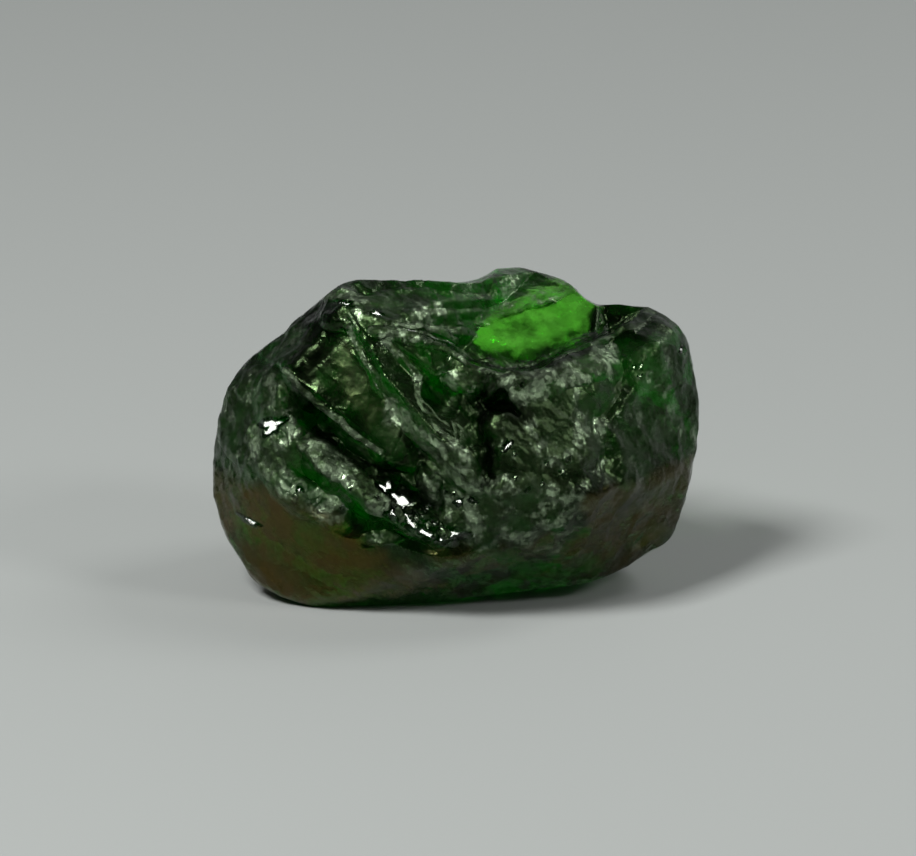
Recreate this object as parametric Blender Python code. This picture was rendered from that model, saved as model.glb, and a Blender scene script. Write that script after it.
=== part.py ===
"""A rough garnet: one broken crystal with conchoidal steps, lying on a flat fracture face.

The stone is one closed solid. A worn block is made from its broken corners, and then the steps,
scoops and notches of the fractures are carved into its front and back, as seen by someone who
looks at its front from a little above.
"""
import math

import bmesh
import bpy
import numpy as np
from mathutils import Vector, noise

# Driving dimensions. Lengths are millimetres until the finished stone is scaled to metres.
METRES_PER_MM = 0.001
STONE_WIDTH = 7.15
LOOK_DOWN = math.radians(18.0)
BALL_SUBDIVISIONS = 7
TRIANGLE_BUDGET = 8600

# How sharply the block's faces meet: a high number leaves crisp edges, a low one a pebble.
# The lower left of the front is the worn belly, rounder than the rest.
EDGE_SHARPNESS = 110.0
BELLY_SHARPNESS = 30.0
BELLY_DIRECTION = (-0.62, -0.62, -0.48)
BELLY_SPREAD = 0.225

# Faces of the block that meet at less than this are taken as one face.
FACE_MERGE_ANGLE = math.radians(4.0)
FLAT_BASE_NORMAL = -0.999
LEAST_DOWNWARD = 1e-6

# The middle of the block, and its corners: right, back and up in millimetres.
MIDDLE = (0.0, 0.1, 2.1)
OUTLINE_CORNERS = [
    (-3.60, -0.08, 1.70), (-3.46, -0.44, 0.90), (-3.02, -0.96, 0.24), (-2.20, -1.36, 0.0),
    (-0.62, -1.19, 0.0), (0.10, -0.95, 0.0), (1.06, -0.70, 0.12), (1.79, -0.81, 0.20),
    (2.13, -0.87, 0.30), (2.41, -0.72, 0.42), (3.15, -0.30, 0.75), (3.38, -0.28, 1.50),
    (3.53, 0.07, 2.30), (3.56, 0.16, 2.62), (3.49, 0.24, 2.95), (3.35, 0.44, 3.60),
    (3.00, 0.50, 3.93), (2.41, 0.48, 4.05), (1.69, 1.03, 4.15), (1.46, 1.16, 4.28),
    (0.87, 1.19, 4.42), (0.34, 1.00, 4.28), (-0.38, -0.04, 4.60), (-1.35, -0.08, 4.62),
    (-1.69, -0.10, 4.56), (-2.12, 0.07, 4.12), (-2.51, 0.25, 3.70), (-3.13, 0.43, 3.15),
    (-3.35, 0.26, 2.85), (-3.47, 0.22, 2.45),
]
FRONT_CORNERS = [
    (-1.95, -1.94, 1.79), (-0.38, -2.02, 0.90), (-2.85, -1.28, 2.12), (-2.46, -1.08, 3.47),
    (-1.63, -0.81, 4.45), (-1.10, -1.07, 4.30), (-0.04, -1.51, 3.78), (0.48, -2.38, 2.22),
    (0.79, -1.75, 3.52), (2.12, -0.99, 3.58), (1.97, -1.94, 1.95), (3.00, -0.21, 3.72),
    (3.38, -0.32, 1.91), (3.00, -0.88, 2.00), (1.09, -2.00, 1.28),
]
BACK_CORNERS = [
    (-2.60, 1.60, 3.10), (-1.20, 2.30, 3.40), (0.60, 2.40, 3.60), (2.20, 1.90, 3.10),
    (3.00, 1.40, 2.00), (-3.10, 1.30, 1.60), (-1.80, 2.35, 1.50), (0.40, 2.50, 1.40),
    (2.30, 2.00, 1.20), (3.36, 1.05, 2.40), (3.12, 1.35, 1.60), (3.10, 1.30, 3.15),
    (-3.32, 1.05, 2.35), (-3.30, 0.90, 1.20), (-2.95, 1.20, 3.00),
]
BASE_CORNERS = [
    (-2.70, -0.20, 0.0), (-2.20, 1.30, 0.0), (-0.60, 1.80, 0.0), (1.20, 1.70, 0.0),
    (2.40, 0.90, 0.0), (2.00, 0.10, 0.0), (1.06, -0.33, 0.0),
]

# Features of the front, in order. Each point is right and up as seen from the front, and a
# height above the block's own surface. The two slopes are those below-left and above-right of
# the line, in millimetres of fall for each millimetre away from it.
FAN_SCOOP = {"centre": (-1.00, 2.05), "radii": (2.05, 1.16), "turn": -46.0, "depth": 0.40,
             "flatness": 2.0}
FRONT_RIDGES = {
    "rim step": (0.15, 0.75, [
        (-2.91, 2.07, -0.10), (-2.79, 1.56, -0.02), (-2.53, 1.32, 0.0), (-2.29, 1.24, 0.01),
        (-2.03, 1.06, 0.0), (-1.75, 1.00, -0.03)]),
    "second step": (1.50, 0.70, [
        (-2.41, 2.19, -0.15), (-2.21, 1.90, -0.04), (-1.91, 1.57, 0.02), (-1.63, 1.35, 0.04),
        (-1.38, 1.18, 0.06), (-1.00, 1.03, 0.06), (-0.65, 0.78, 0.05), (-0.29, 0.63, 0.02),
        (0.0, 0.72, -0.05)]),
    "third step": (1.80, 0.08, [
        (-2.75, 3.45, -0.04), (-2.53, 3.13, -0.02), (-2.29, 2.81, 0.0), (-2.00, 2.56, 0.02),
        (-1.63, 2.26, 0.0), (-1.34, 1.99, -0.05), (-0.97, 1.76, -0.14), (-0.60, 1.66, -0.25)]),
    "third rim": (1.80, 0.80, [
        (-2.29, 2.81, 0.06), (-2.00, 2.56, 0.10), (-1.63, 2.26, 0.09), (-1.34, 1.99, 0.03),
        (-1.02, 1.78, -0.08)]),
    "fourth step": (1.60, 0.75, [
        (-1.62, 3.96, 0.0), (-1.41, 3.62, 0.04), (-1.18, 3.31, 0.10), (-1.03, 2.96, 0.16),
        (-0.79, 2.69, 0.22), (-0.56, 2.43, 0.25), (-0.26, 2.10, 0.26), (0.03, 1.84, 0.25),
        (0.29, 1.57, 0.20), (0.53, 1.36, 0.06)]),
    "fifth step": (1.10, 0.75, [
        (-0.70, 2.96, -0.08), (-0.40, 2.62, -0.04), (-0.05, 2.30, -0.04), (0.20, 2.02, -0.06),
        (0.36, 1.80, -0.10)]),
    "top step": (1.00, 0.75, [
        (-1.24, 3.60, 0.02), (-0.94, 3.57, 0.07), (-0.53, 3.49, 0.09), (-0.24, 3.38, 0.07),
        (0.03, 3.25, 0.04), (0.26, 3.04, 0.0)]),
    "inner step": (1.20, 0.75, [
        (-1.03, 3.47, -0.02), (-0.82, 3.25, 0.02), (-0.62, 2.99, 0.01), (-0.41, 2.69, -0.08)]),
    "blade": (2.20, 1.60, [
        (-0.51, 1.66, -0.14), (-0.43, 1.41, -0.02), (-0.34, 1.19, -0.12)]),
    "shoulder edge": (0.35, 1.20, [
        (0.21, 3.05, 0.0), (0.65, 2.92, 0.06), (1.09, 2.91, 0.07), (1.35, 3.04, 0.06),
        (1.60, 3.20, 0.06), (1.97, 3.33, 0.05), (2.26, 3.42, 0.0)]),
    "lower right edge": (0.30, 0.25, [
        (1.93, 1.25, 0.02), (2.34, 1.34, 0.05), (2.71, 1.51, 0.05), (3.07, 1.63, 0.05),
        (3.41, 1.75, 0.0)]),
}
FRONT_GROOVES = {
    "dark groove": (0.75, 1.60, [
        (-2.24, 1.84, -0.16), (-2.09, 1.57, -0.32), (-1.85, 1.31, -0.36), (-1.56, 1.07, -0.34),
        (-1.19, 0.94, -0.30), (-0.88, 0.81, -0.24), (-0.60, 0.60, -0.10)]),
    "cavity": (1.10, 1.80, [
        (-2.26, 2.48, -0.30), (-2.05, 2.28, -0.52), (-1.75, 2.00, -0.36), (-1.45, 1.82, -0.16)]),
    "dark nook": (1.10, 1.60, [
        (-1.05, 1.66, -0.22), (-0.80, 1.50, -0.46), (-0.58, 1.25, -0.42), (-0.36, 1.00, -0.20)]),
    "seam": (0.90, 1.10, [
        (0.41, 2.69, -0.25), (0.38, 2.29, -0.22), (0.41, 1.85, -0.22), (0.47, 1.49, -0.20),
        (0.41, 1.12, -0.16), (0.32, 0.75, -0.12), (0.21, 0.46, -0.04)]),
    "right seam": (0.60, 0.50, [
        (2.28, 3.35, -0.20), (2.30, 2.75, -0.16), (2.00, 2.30, -0.12), (2.05, 1.60, -0.16)]),
    "top groove": (0.60, 0.60, [
        (-0.82, 3.68, -0.10), (-0.38, 3.66, -0.12), (-0.01, 3.68, -0.08)]),
    "top back groove": (0.45, 0.60, [
        (-1.50, 4.20, -0.08), (-1.00, 4.10, -0.14), (-0.50, 4.12, -0.14), (0.0, 4.16, -0.10)]),
    "left streak": (0.50, 0.60, [
        (-2.80, 3.10, -0.05), (-2.92, 2.70, -0.12), (-2.88, 2.25, -0.10)]),
    "left streak beside": (0.60, 0.70, [
        (-2.52, 3.00, -0.06), (-2.60, 2.60, -0.14), (-2.50, 2.20, -0.10)]),
}
FRONT_PITS = {
    "dark pocket": {"centre": (0.63, 2.54), "radii": (0.30, 0.20), "turn": 5.0, "depth": 0.45},
    "upper pocket": {"centre": (-0.15, 2.72), "radii": (0.36, 0.26), "turn": -42.0, "depth": 0.26},
    "right hollow": {"centre": (2.93, 2.22), "radii": (0.75, 0.80), "turn": 0.0, "depth": 0.14},
    "lower hollow": {"centre": (2.56, 0.90), "radii": (0.75, 0.45), "turn": 20.0, "depth": 0.12},
    "front hollow": {"centre": (1.24, 0.50), "radii": (1.00, 0.40), "turn": 8.0, "depth": 0.14},
}

# The notch behind the shoulder. Its near edge is a line of points right and up, where the
# surface drops back steeply. Each plane after that is a point (right, up, towards the viewer)
# and how much nearer the surface comes for each millimetre to the right and up.
NOTCH_EDGE = [
    (-1.04, 3.57), (-0.60, 3.51), (-0.06, 3.32), (0.21, 3.13), (0.65, 3.00), (1.09, 3.00),
    (1.35, 3.13), (1.60, 3.29), (1.97, 3.41), (2.26, 3.50), (2.85, 3.87),
]
NOTCH_EDGE_DEPTH = 2.40
LEDGE_STEEPNESS = 12.0
NOTCH_WINDOW = ((1.20, 3.70, 1.15), (-0.10, -0.80))
NOTCH_HUMP = ((0.38, 3.75, 1.19), (0.06, -1.28))
NOTCH_CHEEK = ((0.38, 3.75, 1.19), (-0.90, -0.28))
BLOCK_SIDE = ((2.02, 3.60, 1.15), (-2.00, -0.60))
BLOCK_TOP = ((2.45, 3.75, 0.78), (-0.05, -0.15))

# Low bands that cross the flank on the left of the notch: slopes below and above, and the line.
NOTCH_BANDS = [
    (0.50, 0.90, [(-0.95, 3.86, 0.05), (-0.30, 3.84, 0.09), (0.30, 3.90, 0.05)]),
    (0.50, 0.90, [(-0.60, 4.06, 0.05), (0.0, 4.04, 0.09), (0.45, 4.08, 0.06)]),
    (0.40, 0.80, [(-0.45, 3.62, 0.02), (0.0, 3.56, 0.08), (0.22, 3.54, 0.04)]),
]

# The top is cut back to a crest, a line of points right, up and towards the viewer, and falls
# away a little in front of it and behind it.
CREST = [
    (-3.35, 2.79, 0.63), (-3.13, 3.13, 0.60), (-2.79, 3.41, 0.70), (-2.51, 3.59, 0.90),
    (-2.31, 3.81, 1.05), (-2.12, 3.93, 1.20), (-1.88, 4.19, 1.40), (-1.69, 4.29, 1.50),
    (-1.35, 4.34, 1.50), (-0.76, 4.32, 1.50), (-0.38, 4.34, 1.45), (0.00, 4.31, 1.20),
    (0.34, 4.38, 0.45), (0.59, 4.53, 0.30), (0.87, 4.57, 0.25), (1.16, 4.53, 0.25),
    (1.46, 4.43, 0.25), (1.69, 4.26, 0.35), (1.87, 4.09, 0.50), (2.03, 4.00, 0.60),
    (2.41, 4.00, 0.80), (2.75, 3.97, 0.80), (3.00, 3.90, 0.75), (3.19, 3.71, 0.70),
    (3.35, 3.56, 0.65), (3.43, 3.28, 0.60),
]
CREST_FALL = 0.12

# A piece broken out of the back leaves a thin wall behind the window. Its other sides are planes
# that fall away from the viewer.
WALL_THICKNESS = 0.38
BACK_NOTCH_SIDES = [
    ((0.10, 3.50, 0.60), (1.30, 0.70)),
    ((2.00, 3.50, 0.50), (-1.90, -0.30)),
    ((1.10, 3.00, 0.98), (-0.35, 1.60)),
    ((1.00, 4.00, 0.70), (1.00, -3.00)),
]
BACK_BLEND = 0.22
BACK_RIDGES = {
    "back spine": (0.55, 0.80, [
        (-2.6, 2.9, -0.05), (-1.2, 2.6, 0.0), (-0.2, 1.9, 0.02), (0.6, 1.0, 0.0)]),
    "back step": (1.20, 0.45, [
        (-2.4, 1.6, -0.05), (-1.5, 1.3, 0.0), (-0.8, 0.8, -0.02)]),
}
BACK_PITS = {
    "left scoop": {"centre": (-1.5, 2.9), "radii": (1.30, 0.85), "turn": -20.0, "depth": 0.34},
    "low scoop": {"centre": (-1.3, 1.6), "radii": (1.20, 0.80), "turn": -30.0, "depth": 0.30},
    "right scoop": {"centre": (1.9, 1.6), "radii": (1.10, 0.80), "turn": 35.0, "depth": 0.32},
}

# Rough, hackly areas of the front: centre and radii as seen from the front, and how rough.
# Each runs out to nothing a little way outside its radii.
ROUGH_AREAS = [
    ((1.30, 2.15), (1.05, 0.80), 1.0),
    ((-0.90, 1.30), (0.90, 0.40), 0.6),
    ((-0.10, 1.40), (0.45, 0.60), 0.9),
    ((-2.75, 2.60), (0.70, 0.85), 0.8),
    ((0.30, 2.90), (0.60, 0.25), 0.8),
]
BACK_ROUGHNESS = 0.55
CHIP_SPACING = 0.44
CHIP_DEPTH = 0.045
WAVE_HEIGHT = 0.03
WAVE_SPACING = 1.1
ROUGH_EDGE = 1.6

# The chips and ripples fade out over this height, so that the resting face stays flat.
BASE_MARGIN = 0.25

# How far two features round into each other, how near a crest a point is drawn onto it, and
# how much each point is drawn to its neighbours.
BLEND = 0.05
GROOVE_BLEND = 0.025
SNAP_REACH = 0.022
RELAX_ROUNDS = 2
RELAX_SHARE = 0.5

# Carving fades out where the surface turns edge-on to the viewer, and goes no deeper than this.
EDGE_FADE = 0.35
BACK_EDGE_FADE = 0.08
DEEPEST_CUT = 3.0

GARNET_GREEN = (0.012, 0.075, 0.016, 1.0)
GARNET_ROUGHNESS = 0.12
GARNET_IOR = 1.74


def clear_scene():
    """Remove every object that the file opened with."""
    for item in list(bpy.data.objects):
        bpy.data.objects.remove(item, do_unlink=True)


def smooth_max(a, b, blend):
    """The larger of two heights, with the inner corner between them rounded."""
    overlap = np.maximum(blend - np.abs(a - b), 0.0)
    return np.maximum(a, b) + overlap * overlap / (4.0 * blend)


def smooth_min(a, b, blend):
    """The smaller of two heights, with the corner between them rounded."""
    return -smooth_max(-a, -b, blend)


def ball_mesh(subdivisions):
    """An even ball of points, which is pushed out to the stone's surface."""
    ball = bmesh.new()
    bmesh.ops.create_icosphere(ball, subdivisions=subdivisions, radius=1.0)
    mesh = bpy.data.meshes.new("garnet")
    ball.to_mesh(mesh)
    ball.free()
    return mesh


def block_planes(corners, middle):
    """Outward directions and distances of the faces round a set of corners."""
    hull = bmesh.new()
    for corner in corners:
        hull.verts.new(Vector(corner) - Vector(middle))
    bmesh.ops.convex_hull(hull, input=hull.verts)
    bmesh.ops.dissolve_limit(
        hull, angle_limit=FACE_MERGE_ANGLE, verts=hull.verts, edges=hull.edges)
    hull.normal_update()
    planes = []
    for face in hull.faces:
        normal = face.normal
        distance = sum(normal.dot(vert.co) for vert in face.verts) / len(face.verts)
        if distance < 0.0:
            normal = -normal
            distance = -distance
        planes.append((normal.x, normal.y, normal.z, distance))
    hull.free()
    return np.array(planes)


def worn_block(directions):
    """Push a ball out to the block's faces, with its edges worn and its base left flat."""
    middle = np.array(MIDDLE)
    corners = OUTLINE_CORNERS + FRONT_CORNERS + BACK_CORNERS + BASE_CORNERS
    planes = block_planes(corners, MIDDLE)
    sides = planes[planes[:, 2] > FLAT_BASE_NORMAL]
    belly = np.array(BELLY_DIRECTION) / np.linalg.norm(BELLY_DIRECTION)
    away = 1.0 - directions @ belly
    belly_share = np.exp(-((away / BELLY_SPREAD) ** 2))
    sharpness = EDGE_SHARPNESS + (BELLY_SHARPNESS - EDGE_SHARPNESS) * belly_share
    closeness = np.maximum(directions @ (sides[:, :3] / sides[:, 3:]).T, 0.0)
    nearest = closeness.max(axis=1)
    excess = (closeness / nearest[:, None]) ** sharpness[:, None]
    reach = 1.0 / (nearest * excess.sum(axis=1) ** (1.0 / sharpness))
    down = np.maximum(-directions[:, 2], LEAST_DOWNWARD)
    reach = np.minimum(reach, middle[2] / down)
    return middle + directions * reach[:, None]


def view_axes():
    """The viewer's right, up and towards directions."""
    right = np.array((1.0, 0.0, 0.0))
    up = np.array((0.0, math.sin(LOOK_DOWN), math.cos(LOOK_DOWN)))
    towards = np.array((0.0, -math.cos(LOOK_DOWN), math.sin(LOOK_DOWN)))
    return right, up, towards


def line_relief(across, above, line, below_slope, above_slope, falling):
    """Height of a tent along a line, or of a trench if it isn't falling away."""
    nearest = np.full(across.shape, np.inf)
    height = np.zeros(across.shape)
    slope = np.zeros(across.shape)
    for (x0, y0, h0), (x1, y1, h1) in zip(line[:-1], line[1:]):
        run_x = x1 - x0
        run_y = y1 - y0
        share = ((across - x0) * run_x + (above - y0) * run_y) / (run_x ** 2 + run_y ** 2)
        share = np.clip(share, 0.0, 1.0)
        off_x = across - (x0 + share * run_x)
        off_y = above - (y0 + share * run_y)
        distance = np.hypot(off_x, off_y)
        closer = distance < nearest
        upper = run_x * off_y - run_y * off_x > 0.0
        nearest = np.where(closer, distance, nearest)
        height = np.where(closer, h0 + share * (h1 - h0), height)
        slope = np.where(closer, np.where(upper, above_slope, below_slope), slope)
    if falling:
        return height - slope * nearest
    return height + slope * nearest


def pit_relief(across, above, pit):
    """Height of the floor of a round-bottomed scoop, rising past zero outside it."""
    turn = math.radians(pit["turn"])
    dx = across - pit["centre"][0]
    dy = above - pit["centre"][1]
    along = (dx * math.cos(turn) + dy * math.sin(turn)) / pit["radii"][0]
    beside = (-dx * math.sin(turn) + dy * math.cos(turn)) / pit["radii"][1]
    reach = along ** 2 + beside ** 2
    return -pit["depth"] * (1.0 - reach ** pit.get("flatness", 1.0))


def plane_depth(across, above, plane):
    """How near the viewer a plane lies, at each place in the view."""
    point, gains = plane
    return point[2] + gains[0] * (across - point[0]) + gains[1] * (above - point[1])


def rough_share(across, above):
    """How rough the stone is at each place in the front view, from 0 to 1."""
    share = np.zeros(across.shape)
    for centre, radii, strength in ROUGH_AREAS:
        reach = ((across - centre[0]) / radii[0]) ** 2 + ((above - centre[1]) / radii[1]) ** 2
        share = np.maximum(share, strength * np.clip(ROUGH_EDGE - reach, 0.0, 1.0))
    return share


def snap_to_line(across, above, line, reach):
    """Draw the points beside a line onto it, so that its crest is one clean edge."""
    for (x0, y0, _), (x1, y1, _) in zip(line[:-1], line[1:]):
        run_x = x1 - x0
        run_y = y1 - y0
        share = ((across - x0) * run_x + (above - y0) * run_y) / (run_x ** 2 + run_y ** 2)
        on_x = x0 + share * run_x
        on_y = y0 + share * run_y
        beside = (share > 0.0) & (share < 1.0)
        beside &= np.hypot(across - on_x, above - on_y) < reach
        across = np.where(beside, on_x, across)
        above = np.where(beside, on_y, above)
    return across, above


def carve_front(points, facing):
    """Cut the steps, grooves, pits and the notch into the side that faces the viewer."""
    right, up, towards = view_axes()
    start_across = points @ right
    start_above = points @ up
    depth = points @ towards
    across = start_across
    above = start_above
    for feature in list(FRONT_RIDGES.values()) + list(FRONT_GROOVES.values()):
        across, above = snap_to_line(across, above, feature[2], SNAP_REACH)
    across = np.where(facing > EDGE_FADE, across, start_across)
    above = np.where(facing > EDGE_FADE, above, start_above)
    relief = np.minimum(pit_relief(across, above, FAN_SCOOP), 0.0)
    for below_slope, above_slope, line in FRONT_RIDGES.values():
        tent = line_relief(across, above, line, below_slope, above_slope, falling=True)
        relief = smooth_max(relief, tent, BLEND)
    for below_slope, above_slope, line in FRONT_GROOVES.values():
        trench = line_relief(across, above, line, below_slope, above_slope, falling=False)
        relief = smooth_min(relief, trench, GROOVE_BLEND)
    for pit in FRONT_PITS.values():
        relief = np.minimum(relief, pit_relief(across, above, pit))
    edge_right, edge_up = np.array(NOTCH_EDGE).T
    drop = np.interp(across, edge_right, edge_up) - above
    ledge = NOTCH_EDGE_DEPTH + LEDGE_STEEPNESS * drop
    window = plane_depth(across, above, NOTCH_WINDOW)
    hump = plane_depth(across, above, NOTCH_HUMP)
    block = np.maximum(
        plane_depth(across, above, BLOCK_SIDE), plane_depth(across, above, BLOCK_TOP))
    notch = smooth_max(ledge, np.minimum(np.minimum(window, hump), block), BLEND)
    notch = smooth_max(notch, plane_depth(across, above, NOTCH_CHEEK), BLEND)
    bands = np.zeros(across.shape)
    for below_slope, above_slope, line in NOTCH_BANDS:
        tent = line_relief(across, above, line, below_slope, above_slope, falling=True)
        bands = smooth_max(bands, tent, GROOVE_BLEND)
    fade = np.clip(facing / EDGE_FADE, 0.0, 1.0)
    carved = np.minimum(depth + relief * fade, np.maximum(notch + bands, depth - DEEPEST_CUT * fade))
    moved = np.where(facing > 0.0, carved - depth, 0.0)
    aside = (across - start_across)[:, None] * right + (above - start_above)[:, None] * up
    return points + aside + moved[:, None] * towards


def cut_top(points):
    """Lower the top to its crest."""
    right, up, towards = view_axes()
    crest_right, crest_up, crest_towards = np.array(CREST).T
    across = points @ right
    above = points @ up
    beside_crest = np.abs(points @ towards - np.interp(across, crest_right, crest_towards))
    roof = np.interp(across, crest_right, crest_up) - CREST_FALL * beside_crest
    return points + np.minimum(roof - above, 0.0)[:, None] * up


def carve_back(points, facing):
    """Break the notch and the scoops out of the far side."""
    right, up, towards = view_axes()
    across = points @ right
    above = points @ up
    depth = points @ towards
    relief = np.zeros(across.shape)
    for pit in BACK_PITS.values():
        relief = np.minimum(relief, pit_relief(across, above, pit))
    for below_slope, above_slope, line in BACK_RIDGES.values():
        tent = line_relief(across, above, line, below_slope, above_slope, falling=True)
        relief = smooth_max(relief, tent, BLEND)
    wall = plane_depth(across, above, NOTCH_WINDOW) - WALL_THICKNESS
    for side in BACK_NOTCH_SIDES:
        wall = smooth_min(wall, plane_depth(across, above, side), BACK_BLEND)
    fade = np.clip(-facing / BACK_EDGE_FADE, 0.0, 1.0)
    carved = np.maximum(depth - relief * fade, np.minimum(wall, depth + DEEPEST_CUT * fade))
    moved = np.where(facing < 0.0, carved - depth, 0.0)
    return points + moved[:, None] * towards


def hackle(points, normals):
    """Break the rough areas into small dished chips, and ripple the smooth ones a little."""
    right, up, towards = view_axes()
    rough = rough_share(points @ right, points @ up)
    rough = np.where(normals @ towards > 0.0, rough, BACK_ROUGHNESS)
    heights = np.zeros(len(points))
    for index, point in enumerate(points):
        from_middle = noise.voronoi(Vector(point / CHIP_SPACING))[0][0]
        chip = CHIP_DEPTH * ((2.0 * from_middle) ** 2 - 1.0)
        wave = noise.noise(Vector(point / WAVE_SPACING))
        heights[index] = rough[index] * chip + WAVE_HEIGHT * wave
    above_base = np.clip(points[:, 2] / BASE_MARGIN, 0.0, 1.0)
    return points + normals * (heights * above_base)[:, None]


def mesh_points(mesh):
    """The mesh's points as an array."""
    points = np.empty(len(mesh.vertices) * 3)
    mesh.vertices.foreach_get("co", points)
    return points.reshape(-1, 3)


def mesh_normals(mesh):
    """The outward direction at each of the mesh's points."""
    normals = np.array([normal.vector for normal in mesh.vertex_normals])
    return normals.reshape(-1, 3)


def relax(mesh, rounds):
    """Draw each point part of the way to its neighbours, which takes the teeth off sharp walls."""
    surface = bmesh.new()
    surface.from_mesh(mesh)
    for _ in range(rounds):
        bmesh.ops.smooth_vert(
            surface, verts=surface.verts, factor=RELAX_SHARE,
            use_axis_x=True, use_axis_y=True, use_axis_z=True)
    surface.to_mesh(mesh)
    surface.free()
    mesh.update()


def set_points(mesh, points):
    """Move the mesh's points."""
    mesh.vertices.foreach_set("co", points.ravel())
    mesh.update()


def seat_on_base(points):
    """Centre the stone, bring its base to zero and give it its real width, in metres."""
    points = points.copy()
    points[:, 2] = np.maximum(points[:, 2], 0.0)
    low = points.min(axis=0)
    high = points.max(axis=0)
    points[:, :2] -= (low[:2] + high[:2]) / 2.0
    scale = STONE_WIDTH / (high[0] - low[0])
    return points * scale * METRES_PER_MM


def garnet_material():
    """Dark green garnet, glossy where it broke cleanly."""
    material = bpy.data.materials.new("tsavorite_garnet")
    material.use_nodes = True
    shader = material.node_tree.nodes["Principled BSDF"]
    shader.inputs["Base Color"].default_value = GARNET_GREEN
    shader.inputs["Roughness"].default_value = GARNET_ROUGHNESS
    shader.inputs["Metallic"].default_value = 0.0
    shader.inputs["IOR"].default_value = GARNET_IOR
    return material


def thin_out(stone, budget):
    """Keep the triangles where the surface bends, within the budget."""
    decimate = stone.modifiers.new("fewer faces", "DECIMATE")
    decimate.decimate_type = "COLLAPSE"
    decimate.ratio = budget / len(stone.data.polygons)


def make_garnet():
    """Model the whole stone."""
    mesh = ball_mesh(BALL_SUBDIVISIONS)
    directions = mesh_points(mesh)
    directions /= np.linalg.norm(directions, axis=1)[:, None]
    set_points(mesh, cut_top(worn_block(directions)))
    towards = view_axes()[2]
    facing = mesh_normals(mesh) @ towards
    carved = carve_front(mesh_points(mesh), facing)
    carved = carve_back(carved, facing)
    set_points(mesh, carved)
    relax(mesh, RELAX_ROUNDS)
    set_points(mesh, hackle(mesh_points(mesh), mesh_normals(mesh)))
    set_points(mesh, seat_on_base(mesh_points(mesh)))
    stone = bpy.data.objects.new("garnet", mesh)
    bpy.context.scene.collection.objects.link(stone)
    mesh.materials.append(garnet_material())
    thin_out(stone, TRIANGLE_BUDGET)
    return stone


clear_scene()
make_garnet()
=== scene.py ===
"""A rough tsavorite garnet: one dark green crystal, broken on every side."""

import math

import bmesh
import bpy
import numpy as np
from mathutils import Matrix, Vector


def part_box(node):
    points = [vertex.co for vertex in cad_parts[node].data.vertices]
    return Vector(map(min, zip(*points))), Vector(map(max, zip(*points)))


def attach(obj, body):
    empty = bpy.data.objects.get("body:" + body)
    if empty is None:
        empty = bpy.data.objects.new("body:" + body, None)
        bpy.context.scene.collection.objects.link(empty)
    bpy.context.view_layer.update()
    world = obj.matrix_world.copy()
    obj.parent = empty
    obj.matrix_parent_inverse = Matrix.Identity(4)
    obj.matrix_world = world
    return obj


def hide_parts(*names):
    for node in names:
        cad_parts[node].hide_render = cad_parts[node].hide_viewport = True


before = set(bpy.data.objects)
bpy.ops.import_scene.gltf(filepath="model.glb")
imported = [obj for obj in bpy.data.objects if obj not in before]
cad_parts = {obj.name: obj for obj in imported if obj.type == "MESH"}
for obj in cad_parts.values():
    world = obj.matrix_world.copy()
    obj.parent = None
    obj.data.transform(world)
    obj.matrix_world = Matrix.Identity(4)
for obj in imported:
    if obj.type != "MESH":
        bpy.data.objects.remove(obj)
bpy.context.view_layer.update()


# The block.
# The crystal came out of its rock as a blocky piece with about ten large breaks. Its corners are
# read off the outline and the edges inside it, and a fine ball of points is pushed out to the
# faces between them. Lengths are millimetres, as right, back and up.
LOOK_DOWN = math.radians(18.0)
RIGHT = np.array((1.0, 0.0, 0.0))
UP = np.array((0.0, math.sin(LOOK_DOWN), math.cos(LOOK_DOWN)))
TOWARDS = np.array((0.0, -math.cos(LOOK_DOWN), math.sin(LOOK_DOWN)))

# The ball's points crowd to the front, where the stone is seen closest.
BALL_SUBDIVISIONS = 8
FRONT_SHARE = 0.4

# How sharply the block's faces meet: a high number leaves crisp edges, a low one a pebble.
# The lower left of the front is the worn belly, rounder than the rest.
EDGE_SHARPNESS = 110.0
BELLY_SHARPNESS = 30.0
BELLY_DIRECTION = (-0.62, -0.62, -0.48)
BELLY_SPREAD = 0.225

# Faces of the block that meet at less than this are taken as one face, and faces that look
# straight down are left to the flat base. A level direction counts as looking down by a trace,
# so that nothing is divided by zero.
FACE_MERGE_ANGLE = math.radians(4.0)
FLAT_BASE_NORMAL = -0.999
LEAST_DOWNWARD = 1e-6

# The middle of the block, and its corners.
MIDDLE = (0.0, 0.1, 2.1)
OUTLINE_CORNERS = [
    (-3.60, -0.08, 1.70), (-3.46, -0.44, 0.90), (-3.02, -0.96, 0.24), (-2.20, -1.36, 0.0),
    (-0.62, -1.19, 0.0), (0.10, -0.95, 0.0), (1.06, -0.70, 0.12), (1.79, -0.81, 0.20),
    (2.13, -0.87, 0.30), (2.41, -0.72, 0.42), (3.15, -0.30, 0.75), (3.38, -0.28, 1.50),
    (3.53, 0.07, 2.30), (3.56, 0.16, 2.62), (3.49, 0.24, 2.95), (3.35, 0.44, 3.60),
    (3.00, 0.50, 3.93), (2.41, 0.48, 4.05), (1.69, 1.03, 4.15), (1.46, 1.16, 4.28),
    (0.87, 1.19, 4.42), (0.34, 1.00, 4.28), (-0.38, -0.04, 4.60), (-1.35, -0.08, 4.62),
    (-1.69, -0.10, 4.56), (-2.12, 0.07, 4.12), (-2.51, 0.25, 3.70), (-3.13, 0.43, 3.15),
    (-3.35, 0.26, 2.85), (-3.47, 0.22, 2.45),
]
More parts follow.
